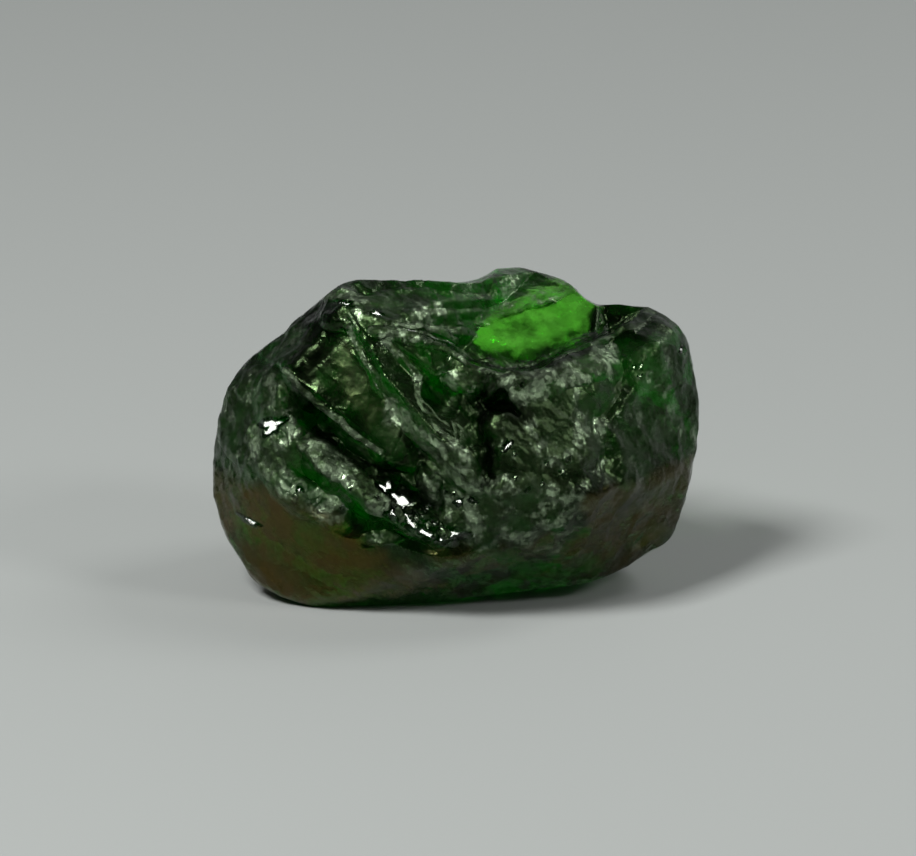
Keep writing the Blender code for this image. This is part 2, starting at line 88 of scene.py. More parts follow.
FRONT_CORNERS = [
    (-1.95, -1.94, 1.79), (-0.38, -2.02, 0.90), (-2.85, -1.28, 2.12), (-2.46, -1.08, 3.47),
    (-1.63, -0.81, 4.45), (-1.10, -1.07, 4.30), (-0.04, -1.51, 3.78), (0.48, -2.38, 2.22),
    (0.79, -1.75, 3.52), (2.12, -0.99, 3.58), (1.97, -1.94, 1.95), (3.00, -0.21, 3.72),
    (3.38, -0.32, 1.91), (3.00, -0.88, 2.00), (1.09, -2.00, 1.28),
]
BACK_CORNERS = [
    (-2.60, 1.60, 3.10), (-1.20, 2.30, 3.40), (0.60, 2.40, 3.60), (2.20, 1.90, 3.10),
    (3.00, 1.40, 2.00), (-3.10, 1.30, 1.60), (-1.80, 2.35, 1.50), (0.40, 2.50, 1.40),
    (2.30, 2.00, 1.20), (3.36, 1.05, 2.40), (3.12, 1.35, 1.60), (3.10, 1.30, 3.15),
    (-3.32, 1.05, 2.35), (-3.30, 0.90, 1.20), (-2.95, 1.20, 3.00),
]
BASE_CORNERS = [
    (-2.70, -0.20, 0.0), (-2.20, 1.30, 0.0), (-0.60, 1.80, 0.0), (1.20, 1.70, 0.0),
    (2.40, 0.90, 0.0), (2.00, 0.10, 0.0), (1.06, -0.33, 0.0),
]

# The top is cut back to a crest, a line of points right, up and towards the viewer, and falls
# away a little in front of it and behind it.
CREST = [
    (-3.35, 2.79, 0.63), (-3.13, 3.13, 0.60), (-2.79, 3.41, 0.70), (-2.51, 3.59, 0.90),
    (-2.31, 3.81, 1.05), (-2.12, 3.93, 1.20), (-1.88, 4.19, 1.40), (-1.69, 4.29, 1.50),
    (-1.35, 4.34, 1.50), (-0.76, 4.32, 1.50), (-0.38, 4.34, 1.45), (0.00, 4.31, 1.20),
    (0.34, 4.38, 0.45), (0.59, 4.53, 0.30), (0.87, 4.57, 0.25), (1.16, 4.53, 0.25),
    (1.46, 4.43, 0.25), (1.69, 4.26, 0.35), (1.87, 4.09, 0.50), (2.03, 4.00, 0.60),
    (2.41, 4.00, 0.80), (2.75, 3.97, 0.80), (3.00, 3.90, 0.75), (3.19, 3.71, 0.70),
    (3.35, 3.56, 0.65), (3.43, 3.28, 0.60),
]
CREST_FALL = 0.12


def ball_mesh(subdivisions):
    """An even ball of points, which is pushed out to the stone's surface."""
    ball = bmesh.new()
    bmesh.ops.create_icosphere(ball, subdivisions=subdivisions, radius=1.0)
    mesh = bpy.data.meshes.new("garnet")
    ball.to_mesh(mesh)
    ball.free()
    return mesh


def mesh_points(mesh):
    """The mesh's points as an array."""
    points = np.empty(len(mesh.vertices) * 3)
    mesh.vertices.foreach_get("co", points)
    return points.reshape(-1, 3)


def set_points(mesh, points):
    """Move the mesh's points."""
    mesh.vertices.foreach_set("co", points.ravel())
    mesh.update()


def seen_places(points):
    """How far right, up and towards the viewer each point lies, as seen from the front."""
    return points @ RIGHT, points @ UP, points @ TOWARDS


def block_planes(corners, middle):
    """Outward directions and distances of the faces round a set of corners."""
    hull = bmesh.new()
    for corner in corners:
        hull.verts.new(Vector(corner) - Vector(middle))
    bmesh.ops.convex_hull(hull, input=hull.verts)
    bmesh.ops.dissolve_limit(
        hull, angle_limit=FACE_MERGE_ANGLE, verts=hull.verts, edges=hull.edges)
    hull.normal_update()
    planes = []
    for face in hull.faces:
        normal = face.normal
        distance = sum(normal.dot(vert.co) for vert in face.verts) / len(face.verts)
        if distance < 0.0:
            normal = -normal
            distance = -distance
        planes.append((normal.x, normal.y, normal.z, distance))
    hull.free()
    return np.array(planes)


def worn_block(directions):
    """Push a ball out to the block's faces, with its edges worn and its base left flat."""
    middle = np.array(MIDDLE)
    corners = OUTLINE_CORNERS + FRONT_CORNERS + BACK_CORNERS + BASE_CORNERS
    planes = block_planes(corners, MIDDLE)
    sides = planes[planes[:, 2] > FLAT_BASE_NORMAL]
    belly = np.array(BELLY_DIRECTION) / np.linalg.norm(BELLY_DIRECTION)
    away = 1.0 - directions @ belly
    belly_share = np.exp(-((away / BELLY_SPREAD) ** 2))
    sharpness = EDGE_SHARPNESS + (BELLY_SHARPNESS - EDGE_SHARPNESS) * belly_share
    closeness = np.maximum(directions @ (sides[:, :3] / sides[:, 3:]).T, 0.0)
    nearest = closeness.max(axis=1)
    excess = (closeness / nearest[:, None]) ** sharpness[:, None]
    reach = 1.0 / (nearest * excess.sum(axis=1) ** (1.0 / sharpness))
    down = np.maximum(-directions[:, 2], LEAST_DOWNWARD)
    reach = np.minimum(reach, middle[2] / down)
    return middle + directions * reach[:, None]


def cut_top(points):
    """Lower the top to its crest."""
    across, above, depth = seen_places(points)
    crest_right, crest_up, crest_towards = np.array(CREST).T
    beside_crest = np.abs(depth - np.interp(across, crest_right, crest_towards))
    roof = np.interp(across, crest_right, crest_up) - CREST_FALL * beside_crest
    return points + np.minimum(roof - above, 0.0)[:, None] * UP


rough_mesh = ball_mesh(BALL_SUBDIVISIONS)
directions = mesh_points(rough_mesh)
directions /= np.linalg.norm(directions, axis=1)[:, None]
directions += FRONT_SHARE * TOWARDS
directions /= np.linalg.norm(directions, axis=1)[:, None]
set_points(rough_mesh, cut_top(worn_block(directions)))


# The breaks of the front.
# Garnet has no cleavage, so it breaks in curved steps. They fan out over the left of the front,
# and a rough shoulder, a dark pocket and a plainer block follow to the right.

# A ridge or a groove has a slope below, a slope above, and points right and up with a height
# above the block.
FRONT_RIDGES = {
    "rim step": (0.15, 0.75, [
        (-2.91, 2.07, -0.10), (-2.79, 1.56, -0.02), (-2.53, 1.32, 0.0), (-2.29, 1.24, 0.01),
        (-2.03, 1.06, 0.0), (-1.75, 1.00, -0.03)]),
    "second step": (1.50, 0.70, [
        (-2.41, 2.19, -0.15), (-2.21, 1.90, -0.04), (-1.91, 1.57, 0.02), (-1.63, 1.35, 0.04),
        (-1.38, 1.18, 0.06), (-1.00, 1.03, 0.06), (-0.65, 0.78, 0.05), (-0.29, 0.63, 0.02),
        (0.0, 0.72, -0.05)]),
    "third step": (1.80, 0.08, [
        (-2.75, 3.45, -0.04), (-2.53, 3.13, -0.02), (-2.29, 2.81, 0.0), (-2.00, 2.56, 0.02),
        (-1.63, 2.26, 0.0), (-1.34, 1.99, -0.05), (-0.97, 1.76, -0.14), (-0.60, 1.66, -0.25)]),
    "third rim": (1.80, 0.80, [
        (-2.29, 2.81, 0.06), (-2.00, 2.56, 0.10), (-1.63, 2.26, 0.09), (-1.34, 1.99, 0.03),
        (-1.02, 1.78, -0.08)]),
    "fourth step": (1.60, 0.75, [
        (-1.62, 3.96, 0.0), (-1.41, 3.62, 0.04), (-1.18, 3.31, 0.10), (-1.03, 2.96, 0.16),
        (-0.79, 2.69, 0.22), (-0.56, 2.43, 0.25), (-0.26, 2.10, 0.26), (0.03, 1.84, 0.25),
        (0.29, 1.57, 0.20), (0.53, 1.36, 0.06)]),
    "fifth step": (1.10, 0.75, [
        (-0.70, 2.96, -0.08), (-0.40, 2.62, -0.04), (-0.05, 2.30, -0.04), (0.20, 2.02, -0.06),
        (0.36, 1.80, -0.10)]),
    "top step": (1.00, 0.75, [
        (-1.24, 3.60, 0.02), (-0.94, 3.57, 0.07), (-0.53, 3.49, 0.09), (-0.24, 3.38, 0.07),
        (0.03, 3.25, 0.04), (0.26, 3.04, 0.0)]),
    "inner step": (1.20, 0.75, [
        (-1.03, 3.47, -0.02), (-0.82, 3.25, 0.02), (-0.62, 2.99, 0.01), (-0.41, 2.69, -0.08)]),
    "blade": (2.20, 1.60, [
        (-0.51, 1.66, -0.14), (-0.43, 1.41, -0.02), (-0.34, 1.19, -0.12)]),
    "shoulder edge": (0.35, 1.20, [
        (0.21, 3.05, 0.0), (0.65, 2.92, 0.06), (1.09, 2.91, 0.07), (1.35, 3.04, 0.06),
        (1.60, 3.20, 0.06), (1.97, 3.33, 0.05), (2.26, 3.42, 0.0)]),
    "lower right edge": (0.30, 0.25, [
        (1.93, 1.25, 0.02), (2.34, 1.34, 0.05), (2.71, 1.51, 0.05), (3.07, 1.63, 0.05),
        (3.41, 1.75, 0.0)]),
}
FRONT_GROOVES = {
    "dark groove": (0.75, 1.60, [
        (-2.24, 1.84, -0.16), (-2.09, 1.57, -0.32), (-1.85, 1.31, -0.36), (-1.56, 1.07, -0.34),
        (-1.19, 0.94, -0.30), (-0.88, 0.81, -0.24), (-0.60, 0.60, -0.10)]),
    "cavity": (1.10, 1.80, [
        (-2.26, 2.48, -0.30), (-2.05, 2.28, -0.52), (-1.75, 2.00, -0.36), (-1.45, 1.82, -0.16)]),
    "dark nook": (1.10, 1.60, [
        (-1.05, 1.66, -0.22), (-0.80, 1.50, -0.46), (-0.58, 1.25, -0.42), (-0.36, 1.00, -0.20)]),
    "seam": (0.90, 1.10, [
        (0.41, 2.69, -0.25), (0.38, 2.29, -0.22), (0.41, 1.85, -0.22), (0.47, 1.49, -0.20),
        (0.41, 1.12, -0.16), (0.32, 0.75, -0.12), (0.21, 0.46, -0.04)]),
    "right seam": (0.60, 0.50, [
        (2.28, 3.35, -0.20), (2.30, 2.75, -0.16), (2.00, 2.30, -0.12), (2.05, 1.60, -0.16)]),
    "top groove": (0.60, 0.60, [
        (-0.82, 3.68, -0.10), (-0.38, 3.66, -0.12), (-0.01, 3.68, -0.08)]),
    "top back groove": (0.45, 0.60, [
        (-1.50, 4.20, -0.08), (-1.00, 4.10, -0.14), (-0.50, 4.12, -0.14), (0.0, 4.16, -0.10)]),
    "left streak": (0.50, 0.60, [
        (-2.80, 3.10, -0.05), (-2.92, 2.70, -0.12), (-2.88, 2.25, -0.10)]),
    "left streak beside": (0.60, 0.70, [
        (-2.52, 3.00, -0.06), (-2.60, 2.60, -0.14), (-2.50, 2.20, -0.10)]),
}

# Scoops: centre, radii, turn in degrees and depth. The fan's scoop also has a flatter floor.
FAN_SCOOP = ((-1.00, 2.05), (2.05, 1.16), -46.0, 0.40, 2.0)
FRONT_PITS = {
    "dark pocket": ((0.63, 2.54), (0.30, 0.20), 5.0, 0.45),
    "upper pocket": ((-0.15, 2.72), (0.36, 0.26), -42.0, 0.26),
    "right hollow": ((2.93, 2.22), (0.75, 0.80), 0.0, 0.14),
    "lower hollow": ((2.56, 0.90), (0.75, 0.45), 20.0, 0.12),
    "front hollow": ((1.24, 0.50), (1.00, 0.40), 8.0, 0.14),
}

# How far two features round into each other, and how near a crest a point is drawn onto it.
# Carving fades out where the surface turns edge-on to the viewer, and has a deepest cut.
BLEND = 0.03
GROOVE_BLEND = 0.02
SNAP_REACH = 0.012
EDGE_FADE = 0.35
DEEPEST_CUT = 3.0

# Grooves and pits run unevenly. Each wave is radians per millimetre, a start and a height, and
# is bent by a slower one across it.
UNEVEN_WAVES = ((5.2, 0.6, 0.050), (11.3, 2.1, 0.030), (21.0, 4.4, 0.014))
SLOWER_RIGHT = 0.7
SLOWER_UP = 0.6


def mesh_normals(mesh):
    """The outward direction at each of the mesh's points."""
    normals = np.empty(len(mesh.vertices) * 3)
    mesh.vertex_normals.foreach_get("vector", normals)
    return normals.reshape(-1, 3)


def smooth_max(a, b, blend):
    """The larger of two heights, with the inner corner between them rounded."""
    overlap = np.maximum(blend - np.abs(a - b), 0.0)
    return np.maximum(a, b) + overlap * overlap / (4.0 * blend)


def smooth_min(a, b, blend):
    """The smaller of two heights, with the corner between them rounded."""
    return -smooth_max(-a, -b, blend)


def along_stretch(across, above, start, end):
    """The run of one stretch of a line, and how far along it each place lies, from 0 to 1."""
    run_x = end[0] - start[0]
    run_y = end[1] - start[1]
    share = (across - start[0]) * run_x + (above - start[1]) * run_y
    return run_x, run_y, share / (run_x ** 2 + run_y ** 2)


def line_relief(across, above, line, below_slope, above_slope, falling):
    """Height of a tent along a line, or of a trench if it isn't falling away."""
    nearest = np.full(across.shape, np.inf)
    height = np.zeros(across.shape)
    slope = np.zeros(across.shape)
    for start, end in zip(line[:-1], line[1:]):
        run_x, run_y, share = along_stretch(across, above, start, end)
        share = np.clip(share, 0.0, 1.0)
        off_x = across - (start[0] + share * run_x)
        off_y = above - (start[1] + share * run_y)
        distance = np.hypot(off_x, off_y)
        closer = distance < nearest
        upper = run_x * off_y - run_y * off_x > 0.0
        nearest = np.where(closer, distance, nearest)
        height = np.where(closer, start[2] + share * (end[2] - start[2]), height)
        slope = np.where(closer, np.where(upper, above_slope, below_slope), slope)
    return height - slope * nearest if falling else height + slope * nearest


def raise_ridges(relief, across, above, ridges, blend):
    """Raise the relief to each of a set of ridges."""
    for below_slope, above_slope, line in ridges:
        tent = line_relief(across, above, line, below_slope, above_slope, falling=True)
        relief = smooth_max(relief, tent, blend)
    return relief


def oval_places(across, above, centre, radii, degrees=0.0):
    """Where each place lies along and beside a turned oval, with its rim at 1."""
    turn = math.radians(degrees)
    dx = across - centre[0]
    dy = above - centre[1]
    along = (dx * math.cos(turn) + dy * math.sin(turn)) / radii[0]
    beside = (dy * math.cos(turn) - dx * math.sin(turn)) / radii[1]
    return along, beside


def pit_relief(across, above, centre, radii, degrees, depth, flatness=1.0):
    """Height of the floor of a round-bottomed scoop, rising past zero outside it."""
    along, beside = oval_places(across, above, centre, radii, degrees)
    return -depth * (1.0 - (along ** 2 + beside ** 2) ** flatness)


def snap_to_line(across, above, line, reach):
    """Draw the points beside a line onto it, so that its crest is one clean edge."""
    for start, end in zip(line[:-1], line[1:]):
        run_x, run_y, share = along_stretch(across, above, start, end)
        on_x = start[0] + share * run_x
        on_y = start[1] + share * run_y
        beside = (share > 0.0) & (share < 1.0)
        beside &= np.hypot(across - on_x, above - on_y) < reach
        across = np.where(beside, on_x, across)
        above = np.where(beside, on_y, above)
    return across, above


def uneven_places(across, above):
    """Places shifted by a few crossing waves, so that what is drawn at them comes out uneven."""
    shift_right = np.zeros(across.shape)
    shift_up = np.zeros(across.shape)
    for rate, start, height in UNEVEN_WAVES:
        bend_right = np.sin(SLOWER_RIGHT * rate * across)
        bend_up = np.sin(SLOWER_UP * rate * above)
        shift_right += height * np.sin(rate * above + start + bend_right)
        shift_up += height * np.sin(rate * across + 2.0 * start + bend_up)
    return across + shift_right, above + shift_up


# The notch and its thin wall.
# A bite out of the top leaves a shelf behind the shoulder, with a thin wall at its back. Light
# comes through that wall, so it glows bright green. The notch's near edge is a line of points
# right and up, where the surface drops back steeply.
NOTCH_EDGE = [
    (-1.04, 3.57), (-0.60, 3.51), (-0.06, 3.32), (0.21, 3.13), (0.65, 3.00), (1.09, 3.00),
    (1.35, 3.13), (1.60, 3.29), (1.97, 3.41), (2.26, 3.50), (2.85, 3.87),
]
NOTCH_EDGE_DEPTH = 2.40
LEDGE_STEEPNESS = 12.0

# Each plane is a point (right, up, towards the viewer) and how much nearer the surface comes for
# each millimetre to the right and up.
NOTCH_WINDOW = ((1.20, 3.70, 1.15), (-0.10, -0.80))
NOTCH_HUMP = ((0.38, 3.75, 1.19), (0.06, -1.28))
NOTCH_CHEEK = ((0.38, 3.75, 1.19), (-0.90, -0.28))
BLOCK_SIDE = ((2.02, 3.60, 1.15), (-2.00, -0.60))
BLOCK_TOP = ((2.45, 3.75, 0.78), (-0.05, -0.15))

# Low bands that cross the flank on the left of the notch: slopes below and above, and the line.
NOTCH_BANDS = [
    (0.50, 0.90, [(-0.95, 3.86, 0.05), (-0.30, 3.84, 0.09), (0.30, 3.90, 0.05)]),
    (0.50, 0.90, [(-0.60, 4.06, 0.05), (0.0, 4.04, 0.09), (0.45, 4.08, 0.06)]),
    (0.40, 0.80, [(-0.45, 3.62, 0.02), (0.0, 3.56, 0.08), (0.22, 3.54, 0.04)]),
]


def plane_depth(across, above, plane):
    """How near the viewer a plane lies, at each place in the view."""
    point, gains = plane
    return point[2] + gains[0] * (across - point[0]) + gains[1] * (above - point[1])


def carve_front(points, facing):
    """Cut the steps, grooves, pits and the notch into the side that faces the viewer."""
    start_across, start_above, depth = seen_places(points)
    across, above = start_across, start_above
    for _, _, line in FRONT_RIDGES.values():
        across, above = snap_to_line(across, above, line, SNAP_REACH)
    across = np.where(facing > EDGE_FADE, across, start_across)
    above = np.where(facing > EDGE_FADE, above, start_above)
    relief = np.minimum(pit_relief(across, above, *FAN_SCOOP), 0.0)
    relief = raise_ridges(relief, across, above, FRONT_RIDGES.values(), BLEND)
    bent = uneven_places(across, above)
    for below_slope, above_slope, line in FRONT_GROOVES.values():
        trench = line_relief(*bent, line, below_slope, above_slope, falling=False)
        relief = smooth_min(relief, trench, GROOVE_BLEND)
    for pit in FRONT_PITS.values():
        relief = smooth_min(relief, pit_relief(*bent, *pit), BLEND)
    drop = np.interp(across, *np.array(NOTCH_EDGE).T) - above
    ledge = NOTCH_EDGE_DEPTH + LEDGE_STEEPNESS * drop
    window, hump, cheek, side, top = (
        plane_depth(across, above, plane)
        for plane in (NOTCH_WINDOW, NOTCH_HUMP, NOTCH_CHEEK, BLOCK_SIDE, BLOCK_TOP))
    floor = np.minimum(np.minimum(window, hump), np.maximum(side, top))
    notch = smooth_max(smooth_max(ledge, floor, BLEND), cheek, BLEND)
    notch += raise_ridges(np.zeros(across.shape), across, above, NOTCH_BANDS, GROOVE_BLEND)
    fade = np.clip(facing / EDGE_FADE, 0.0, 1.0)
    carved = np.minimum(depth + relief * fade, np.maximum(notch, depth - DEEPEST_CUT * fade))
    moved = np.where(facing > 0.0, carved - depth, 0.0)
    aside = (across - start_across)[:, None] * RIGHT + (above - start_above)[:, None] * UP
    return points + aside + moved[:, None] * TOWARDS


facing = mesh_normals(rough_mesh) @ TOWARDS
carved_points = carve_front(mesh_points(rough_mesh), facing)


# The back.
# It can't be seen from the front. Scoops and steps like those of the front are broken out of it,
# and the piece missing high on the right is what leaves the notch's wall so thin.
WALL_THICKNESS = 0.38
BACK_NOTCH_SIDES = [
    ((-0.35, 3.50, 0.60), (1.30, 0.70)),
    ((2.12, 3.50, 0.50), (-1.90, -0.30)),
    ((1.10, 2.72, 0.98), (-0.35, 1.60)),
    ((1.00, 4.00, 0.70), (1.00, -3.00)),
]
BACK_BLEND = 0.22
BACK_EDGE_FADE = 0.08
BACK_RIDGES = {
    "back spine": (0.55, 0.80, [
        (-2.6, 2.9, -0.05), (-1.2, 2.6, 0.0), (-0.2, 1.9, 0.02), (0.6, 1.0, 0.0)]),
    "back step": (1.20, 0.45, [
        (-2.4, 1.6, -0.05), (-1.5, 1.3, 0.0), (-0.8, 0.8, -0.02)]),
}
BACK_PITS = {
    "left scoop": ((-1.5, 2.9), (1.30, 0.85), -20.0, 0.34),
    "low scoop": ((-1.3, 1.6), (1.20, 0.80), -30.0, 0.30),
    "right scoop": ((1.9, 1.6), (1.10, 0.80), 35.0, 0.32),
}

# At the end each point is drawn to its neighbours, which takes the teeth off sharp walls.
RELAX_ROUNDS = 2
RELAX_SHARE = 0.5


def carve_back(points, facing):
    """Break the notch and the scoops out of the far side."""
    across, above, depth = seen_places(points)
    relief = np.zeros(across.shape)
    for pit in BACK_PITS.values():
        relief = np.minimum(relief, pit_relief(across, above, *pit))
    relief = raise_ridges(relief, across, above, BACK_RIDGES.values(), BLEND)
    wall = plane_depth(across, above, NOTCH_WINDOW) - WALL_THICKNESS
    for side in BACK_NOTCH_SIDES:
        wall = smooth_min(wall, plane_depth(across, above, side), BACK_BLEND)
    fade = np.clip(-facing / BACK_EDGE_FADE, 0.0, 1.0)
    carved = np.maximum(depth - relief * fade, np.minimum(wall, depth + DEEPEST_CUT * fade))
    moved = np.where(facing < 0.0, carved - depth, 0.0)
    return points + moved[:, None] * TOWARDS


def relax(mesh, rounds):
    """Draw each point part of the way to its neighbours."""
    surface = bmesh.new()
    surface.from_mesh(mesh)
    for _ in range(rounds):
        bmesh.ops.smooth_vert(
            surface, verts=surface.verts, factor=RELAX_SHARE,
            use_axis_x=True, use_axis_y=True, use_axis_z=True)
    surface.to_mesh(mesh)
    surface.free()
    mesh.update()


set_points(rough_mesh, carve_back(carved_points, facing))
relax(rough_mesh, RELAX_ROUNDS)


# The flat chips.
# Where the hackly edges broke off in small flat chips, each is a bright mirror for one of the
# lamps. Each has a centre, radii and a turn in degrees as seen from the front, and the lamp that
# it faces. A lamp's azimuth is 0 in front and 90 on the right.
LAMPS = {"left": (-48.0, 54.0), "right": (62.0, 34.0)}
FLAT_CHIPS = [
    ((-2.65, 2.25), (0.22, 0.15), 25.0, "left"),
    ((-1.00, 1.34), (0.17, 0.12), -50.0, "left"),
    ((-0.80, 1.15), (0.21, 0.14), -52.0, "left"),
    ((-0.66, 0.92), (0.20, 0.15), -40.0, "left"),
    ((-0.43, 0.79), (0.24, 0.17), -28.0, "left"),
    ((-0.14, 0.69), (0.30, 0.16), -6.0, "left"),
    ((-0.95, 1.02), (0.13, 0.09), -45.0, "left"),
    ((-2.26, 1.31), (0.06, 0.06), 0.0, "left"),
    ((-1.15, 3.86), (0.10, 0.05), -10.0, "left"),
    ((-1.60, 3.99), (0.15, 0.04), -10.0, "left"),
    ((-3.00, 0.88), (0.22, 0.050), -30.0, "left"),
    ((-0.09, 3.36), (0.05, 0.06), 0.0, "left"),
    ((0.04, 1.17), (0.09, 0.06), 35.0, "left"),
    ((0.24, 1.20), (0.08, 0.05), -20.0, "left"),
    ((3.24, 3.34), (0.06, 0.06), 0.0, "right"),
    ((0.72, 1.97), (0.09, 0.06), 60.0, "left"),
]

# Smaller ones are strewn beside these lines: how many, how far off, and the line. One that would
# bridge a step is left out.
STREWN_CHIPS = [
    (16, 0.10, [(-1.75, 1.60), (-1.12, 1.19), (-0.60, 0.85), (-0.10, 0.72)]),
    (14, 0.08, [(-1.00, 2.60), (-0.53, 2.05), (-0.16, 1.70), (0.34, 1.36)]),
    (8, 0.12, [(-0.45, 1.15), (-0.10, 1.30), (0.25, 1.10)]),
    (8, 0.12, [(0.45, 2.98), (0.75, 2.80), (1.40, 2.92), (1.95, 3.10)]),
    (10, 0.30, [(0.70, 2.00), (1.20, 1.60), (1.70, 1.75)]),
    (8, 0.08, [(-2.45, 1.35), (-2.10, 1.15), (-1.70, 1.00)]),
    (6, 0.25, [(-2.95, 2.90), (-2.90, 2.20)]),
    (5, 0.06, [(-1.65, 4.05), (-1.10, 3.85)]),
    (6, 0.06, [(-1.10, 3.60), (-0.50, 3.50), (0.00, 3.20)]),
    (5, 0.20, [(2.60, 3.10), (3.20, 3.20)]),
]
STREWN_RADII = (0.03, 0.06)
STREWN_STEP = 0.05
STREWN_GLEAM = 0.35
STREWN_SEED = 11

# A chip's rim is wavy, as waves round it and their height, and rounded. It stands out no further
# than a share of its smaller radius, and doesn't reach down to a surface far behind it.
CHIP_WAVES = ((3.0, 0.22), (5.0, 0.14))
CHIP_ROUNDING = 0.45
CHIP_RISE = 0.5
CHIP_REACH = 0.4


def lamp_direction(azimuth, elevation):
    """The direction of a lamp, seen from the stone."""
    turn = math.radians(azimuth)
    tilt = math.radians(elevation)
    flat = math.cos(tilt)
    return Vector((math.sin(turn) * flat, -math.cos(turn) * flat, math.sin(tilt)))


def strewn_chips():
    """Small chips at random places beside their lines."""
    chance = np.random.RandomState(STREWN_SEED)
    chips = []
    for count, spread, line in STREWN_CHIPS:
        corners = np.array(line)
        for _ in range(count):
            along = chance.uniform(0.0, len(line) - 1.0)
            start = int(along)
            centre = corners[start] + (along - start) * (corners[start + 1] - corners[start])
            centre += chance.uniform(-spread, spread, 2)
            radii = chance.uniform(*STREWN_RADII, 2)
            chips.append((centre, radii, chance.uniform(0.0, 180.0), "left"))
    return chips


def lay_flat_chips(points, facing):
    """Cut the small flat chips, and say how much each point gleams for lying on one."""
    across, above, depth = seen_places(points)
    flattened = depth.copy()
    flat = np.zeros(len(points))
    for number, (centre, radii, degrees, side) in enumerate(FLAT_CHIPS + strewn_chips()):
        along, beside = oval_places(across, above, centre, radii, degrees)
        round_it = np.arctan2(beside, along)
        edge = 1.0 + sum(
            height * np.cos(waves * round_it + number) for waves, height in CHIP_WAVES)
        share = np.clip((edge - np.hypot(along, beside)) / CHIP_ROUNDING, 0.0, 1.0)
        inside = (share > 0.0) & (facing > 0.0)
        strewn = number >= len(FLAT_CHIPS)
        if not inside.any() or strewn and np.ptp(depth[inside]) > STREWN_STEP:
            continue
        inside &= depth > depth[inside].max() - CHIP_REACH
        halfway = np.array(lamp_direction(*LAMPS[side])) + TOWARDS
        tilt = (across - centre[0]) * (halfway @ RIGHT) + (above - centre[1]) * (halfway @ UP)
        tilt /= halfway @ TOWARDS
        plane = np.minimum(depth[inside].mean() - tilt, depth + CHIP_RISE * min(radii))
        flattened[inside] += ((plane - flattened) * share)[inside]
        flat[inside] = share[inside] * (STREWN_GLEAM if strewn else 1.0)
    return points + (flattened - depth)[:, None] * TOWARDS, flat


chipped, flat = lay_flat_chips(mesh_points(rough_mesh), mesh_normals(rough_mesh) @ TOWARDS)
set_points(rough_mesh, chipped)


# The surface of the breaks.
# Clean breaks are glossy with faint ripples. The hackly ones are dished chips a few tenths of a
# millimetre across, torn into fine ridges, and the steps' treads are frosted by fine tearing.

# Areas are a centre, radii and a strength as seen from the front; bands are a width, a strength
# and a line of points.
ROUGH_AREAS = [
    ((1.30, 2.20), (0.95, 0.75), 0.58),
    ((0.95, 0.95), (1.00, 0.62), 0.85),
    ((2.40, 0.95), (0.60, 0.35), 0.46),
    ((-0.10, 1.40), (0.45, 0.60), 0.8),
    ((-2.85, 2.35), (0.65, 0.80), 0.7),
    ((0.30, 2.90), (0.50, 0.20), 0.8),
    ((-0.60, 3.90), (1.10, 0.35), 0.6),
    ((0.75, 4.30), (0.70, 0.30), 0.48),
    ((-1.10, 0.64), (0.30, 0.10), 0.8),
    ((2.90, 3.10), (0.50, 0.40), 0.55),
    ((-2.50, 3.50), (0.50, 0.45), 0.55),
]
FROSTED_BANDS = [
    (0.20, 1.3, [(-2.85, 2.07), (-2.66, 1.71), (-2.44, 1.41), (-2.12, 1.19), (-1.75, 1.03)]),
    (0.15, 1.1, [
        (-2.22, 2.07), (-1.85, 1.74), (-1.49, 1.49), (-1.12, 1.19), (-0.75, 0.90),
        (-0.24, 0.66)]),
    (0.035, 0.95, [(-2.45, 3.05), (-2.15, 2.70), (-1.75, 2.38), (-1.40, 2.09), (-1.10, 1.86)]),
    (0.07, 0.8, [(-1.53, 3.62), (-1.38, 3.31), (-1.15, 2.88), (-0.85, 2.49)]),
    (0.13, 1.1, [(-0.90, 2.55), (-0.53, 2.12), (-0.16, 1.75), (0.32, 1.38)]),
    (0.08, 0.9, [(-1.20, 3.62), (-0.60, 3.52), (-0.15, 3.38), (0.20, 3.15)]),
    (0.08, 0.8, [(-1.00, 3.45), (-0.75, 3.15), (-0.55, 2.90)]),
    (0.22, 0.9, [(0.25, 2.95), (0.65, 2.80), (1.15, 2.78), (1.60, 2.98), (2.05, 3.15)]),
    (0.10, 0.6, [(0.21, 3.14), (1.09, 3.05), (1.53, 3.34), (2.12, 3.50), (2.85, 3.90)]),
    (0.08, 0.6, [(2.28, 3.35), (2.30, 2.75), (2.00, 2.30), (2.05, 1.60)]),
    (0.05, 1.0, [(-0.85, 3.70), (-0.45, 3.62), (-0.05, 3.48)]),
    (0.10, 0.8, [(-1.80, 4.10), (-1.20, 4.02), (-0.80, 3.95)]),
    (0.10, 0.8, [(0.38, 3.80), (1.00, 4.02), (1.69, 4.24)]),
]

# How torn the surface is elsewhere: slightly, less in these areas, and more on the back, where
# only the thin wall is clean. A flat chip has hardly any, and the outline is left calm.
SLIGHT_TEARING = 0.44
SMOOTH_AREAS = [
    ((-1.55, 2.75), (0.50, 0.75), 0.25),
    ((-2.15, 3.30), (0.45, 0.50), 0.06),
    ((-1.90, 0.70), (1.50, 0.75), 0.10),
    ((1.20, 3.62), (0.90, 0.45), 0.22),
    ((2.30, 3.75), (0.45, 0.30), 0.15),
]
BACK_ROUGHNESS = 0.7
WALL_CLEAR = ((1.20, 3.70), (1.10, 0.60))
WALL_ROUGHNESS = 0.22
CHIP_TEARING = 0.10
OUTLINE_CALM = 0.32

# A band is at full strength within this share of its width, and gone one width further out. An
# area does the same, by the square of its radii. Bands bend a little with the uneven waves.
FADE_FROM = 0.6
BAND_BEND = 0.4

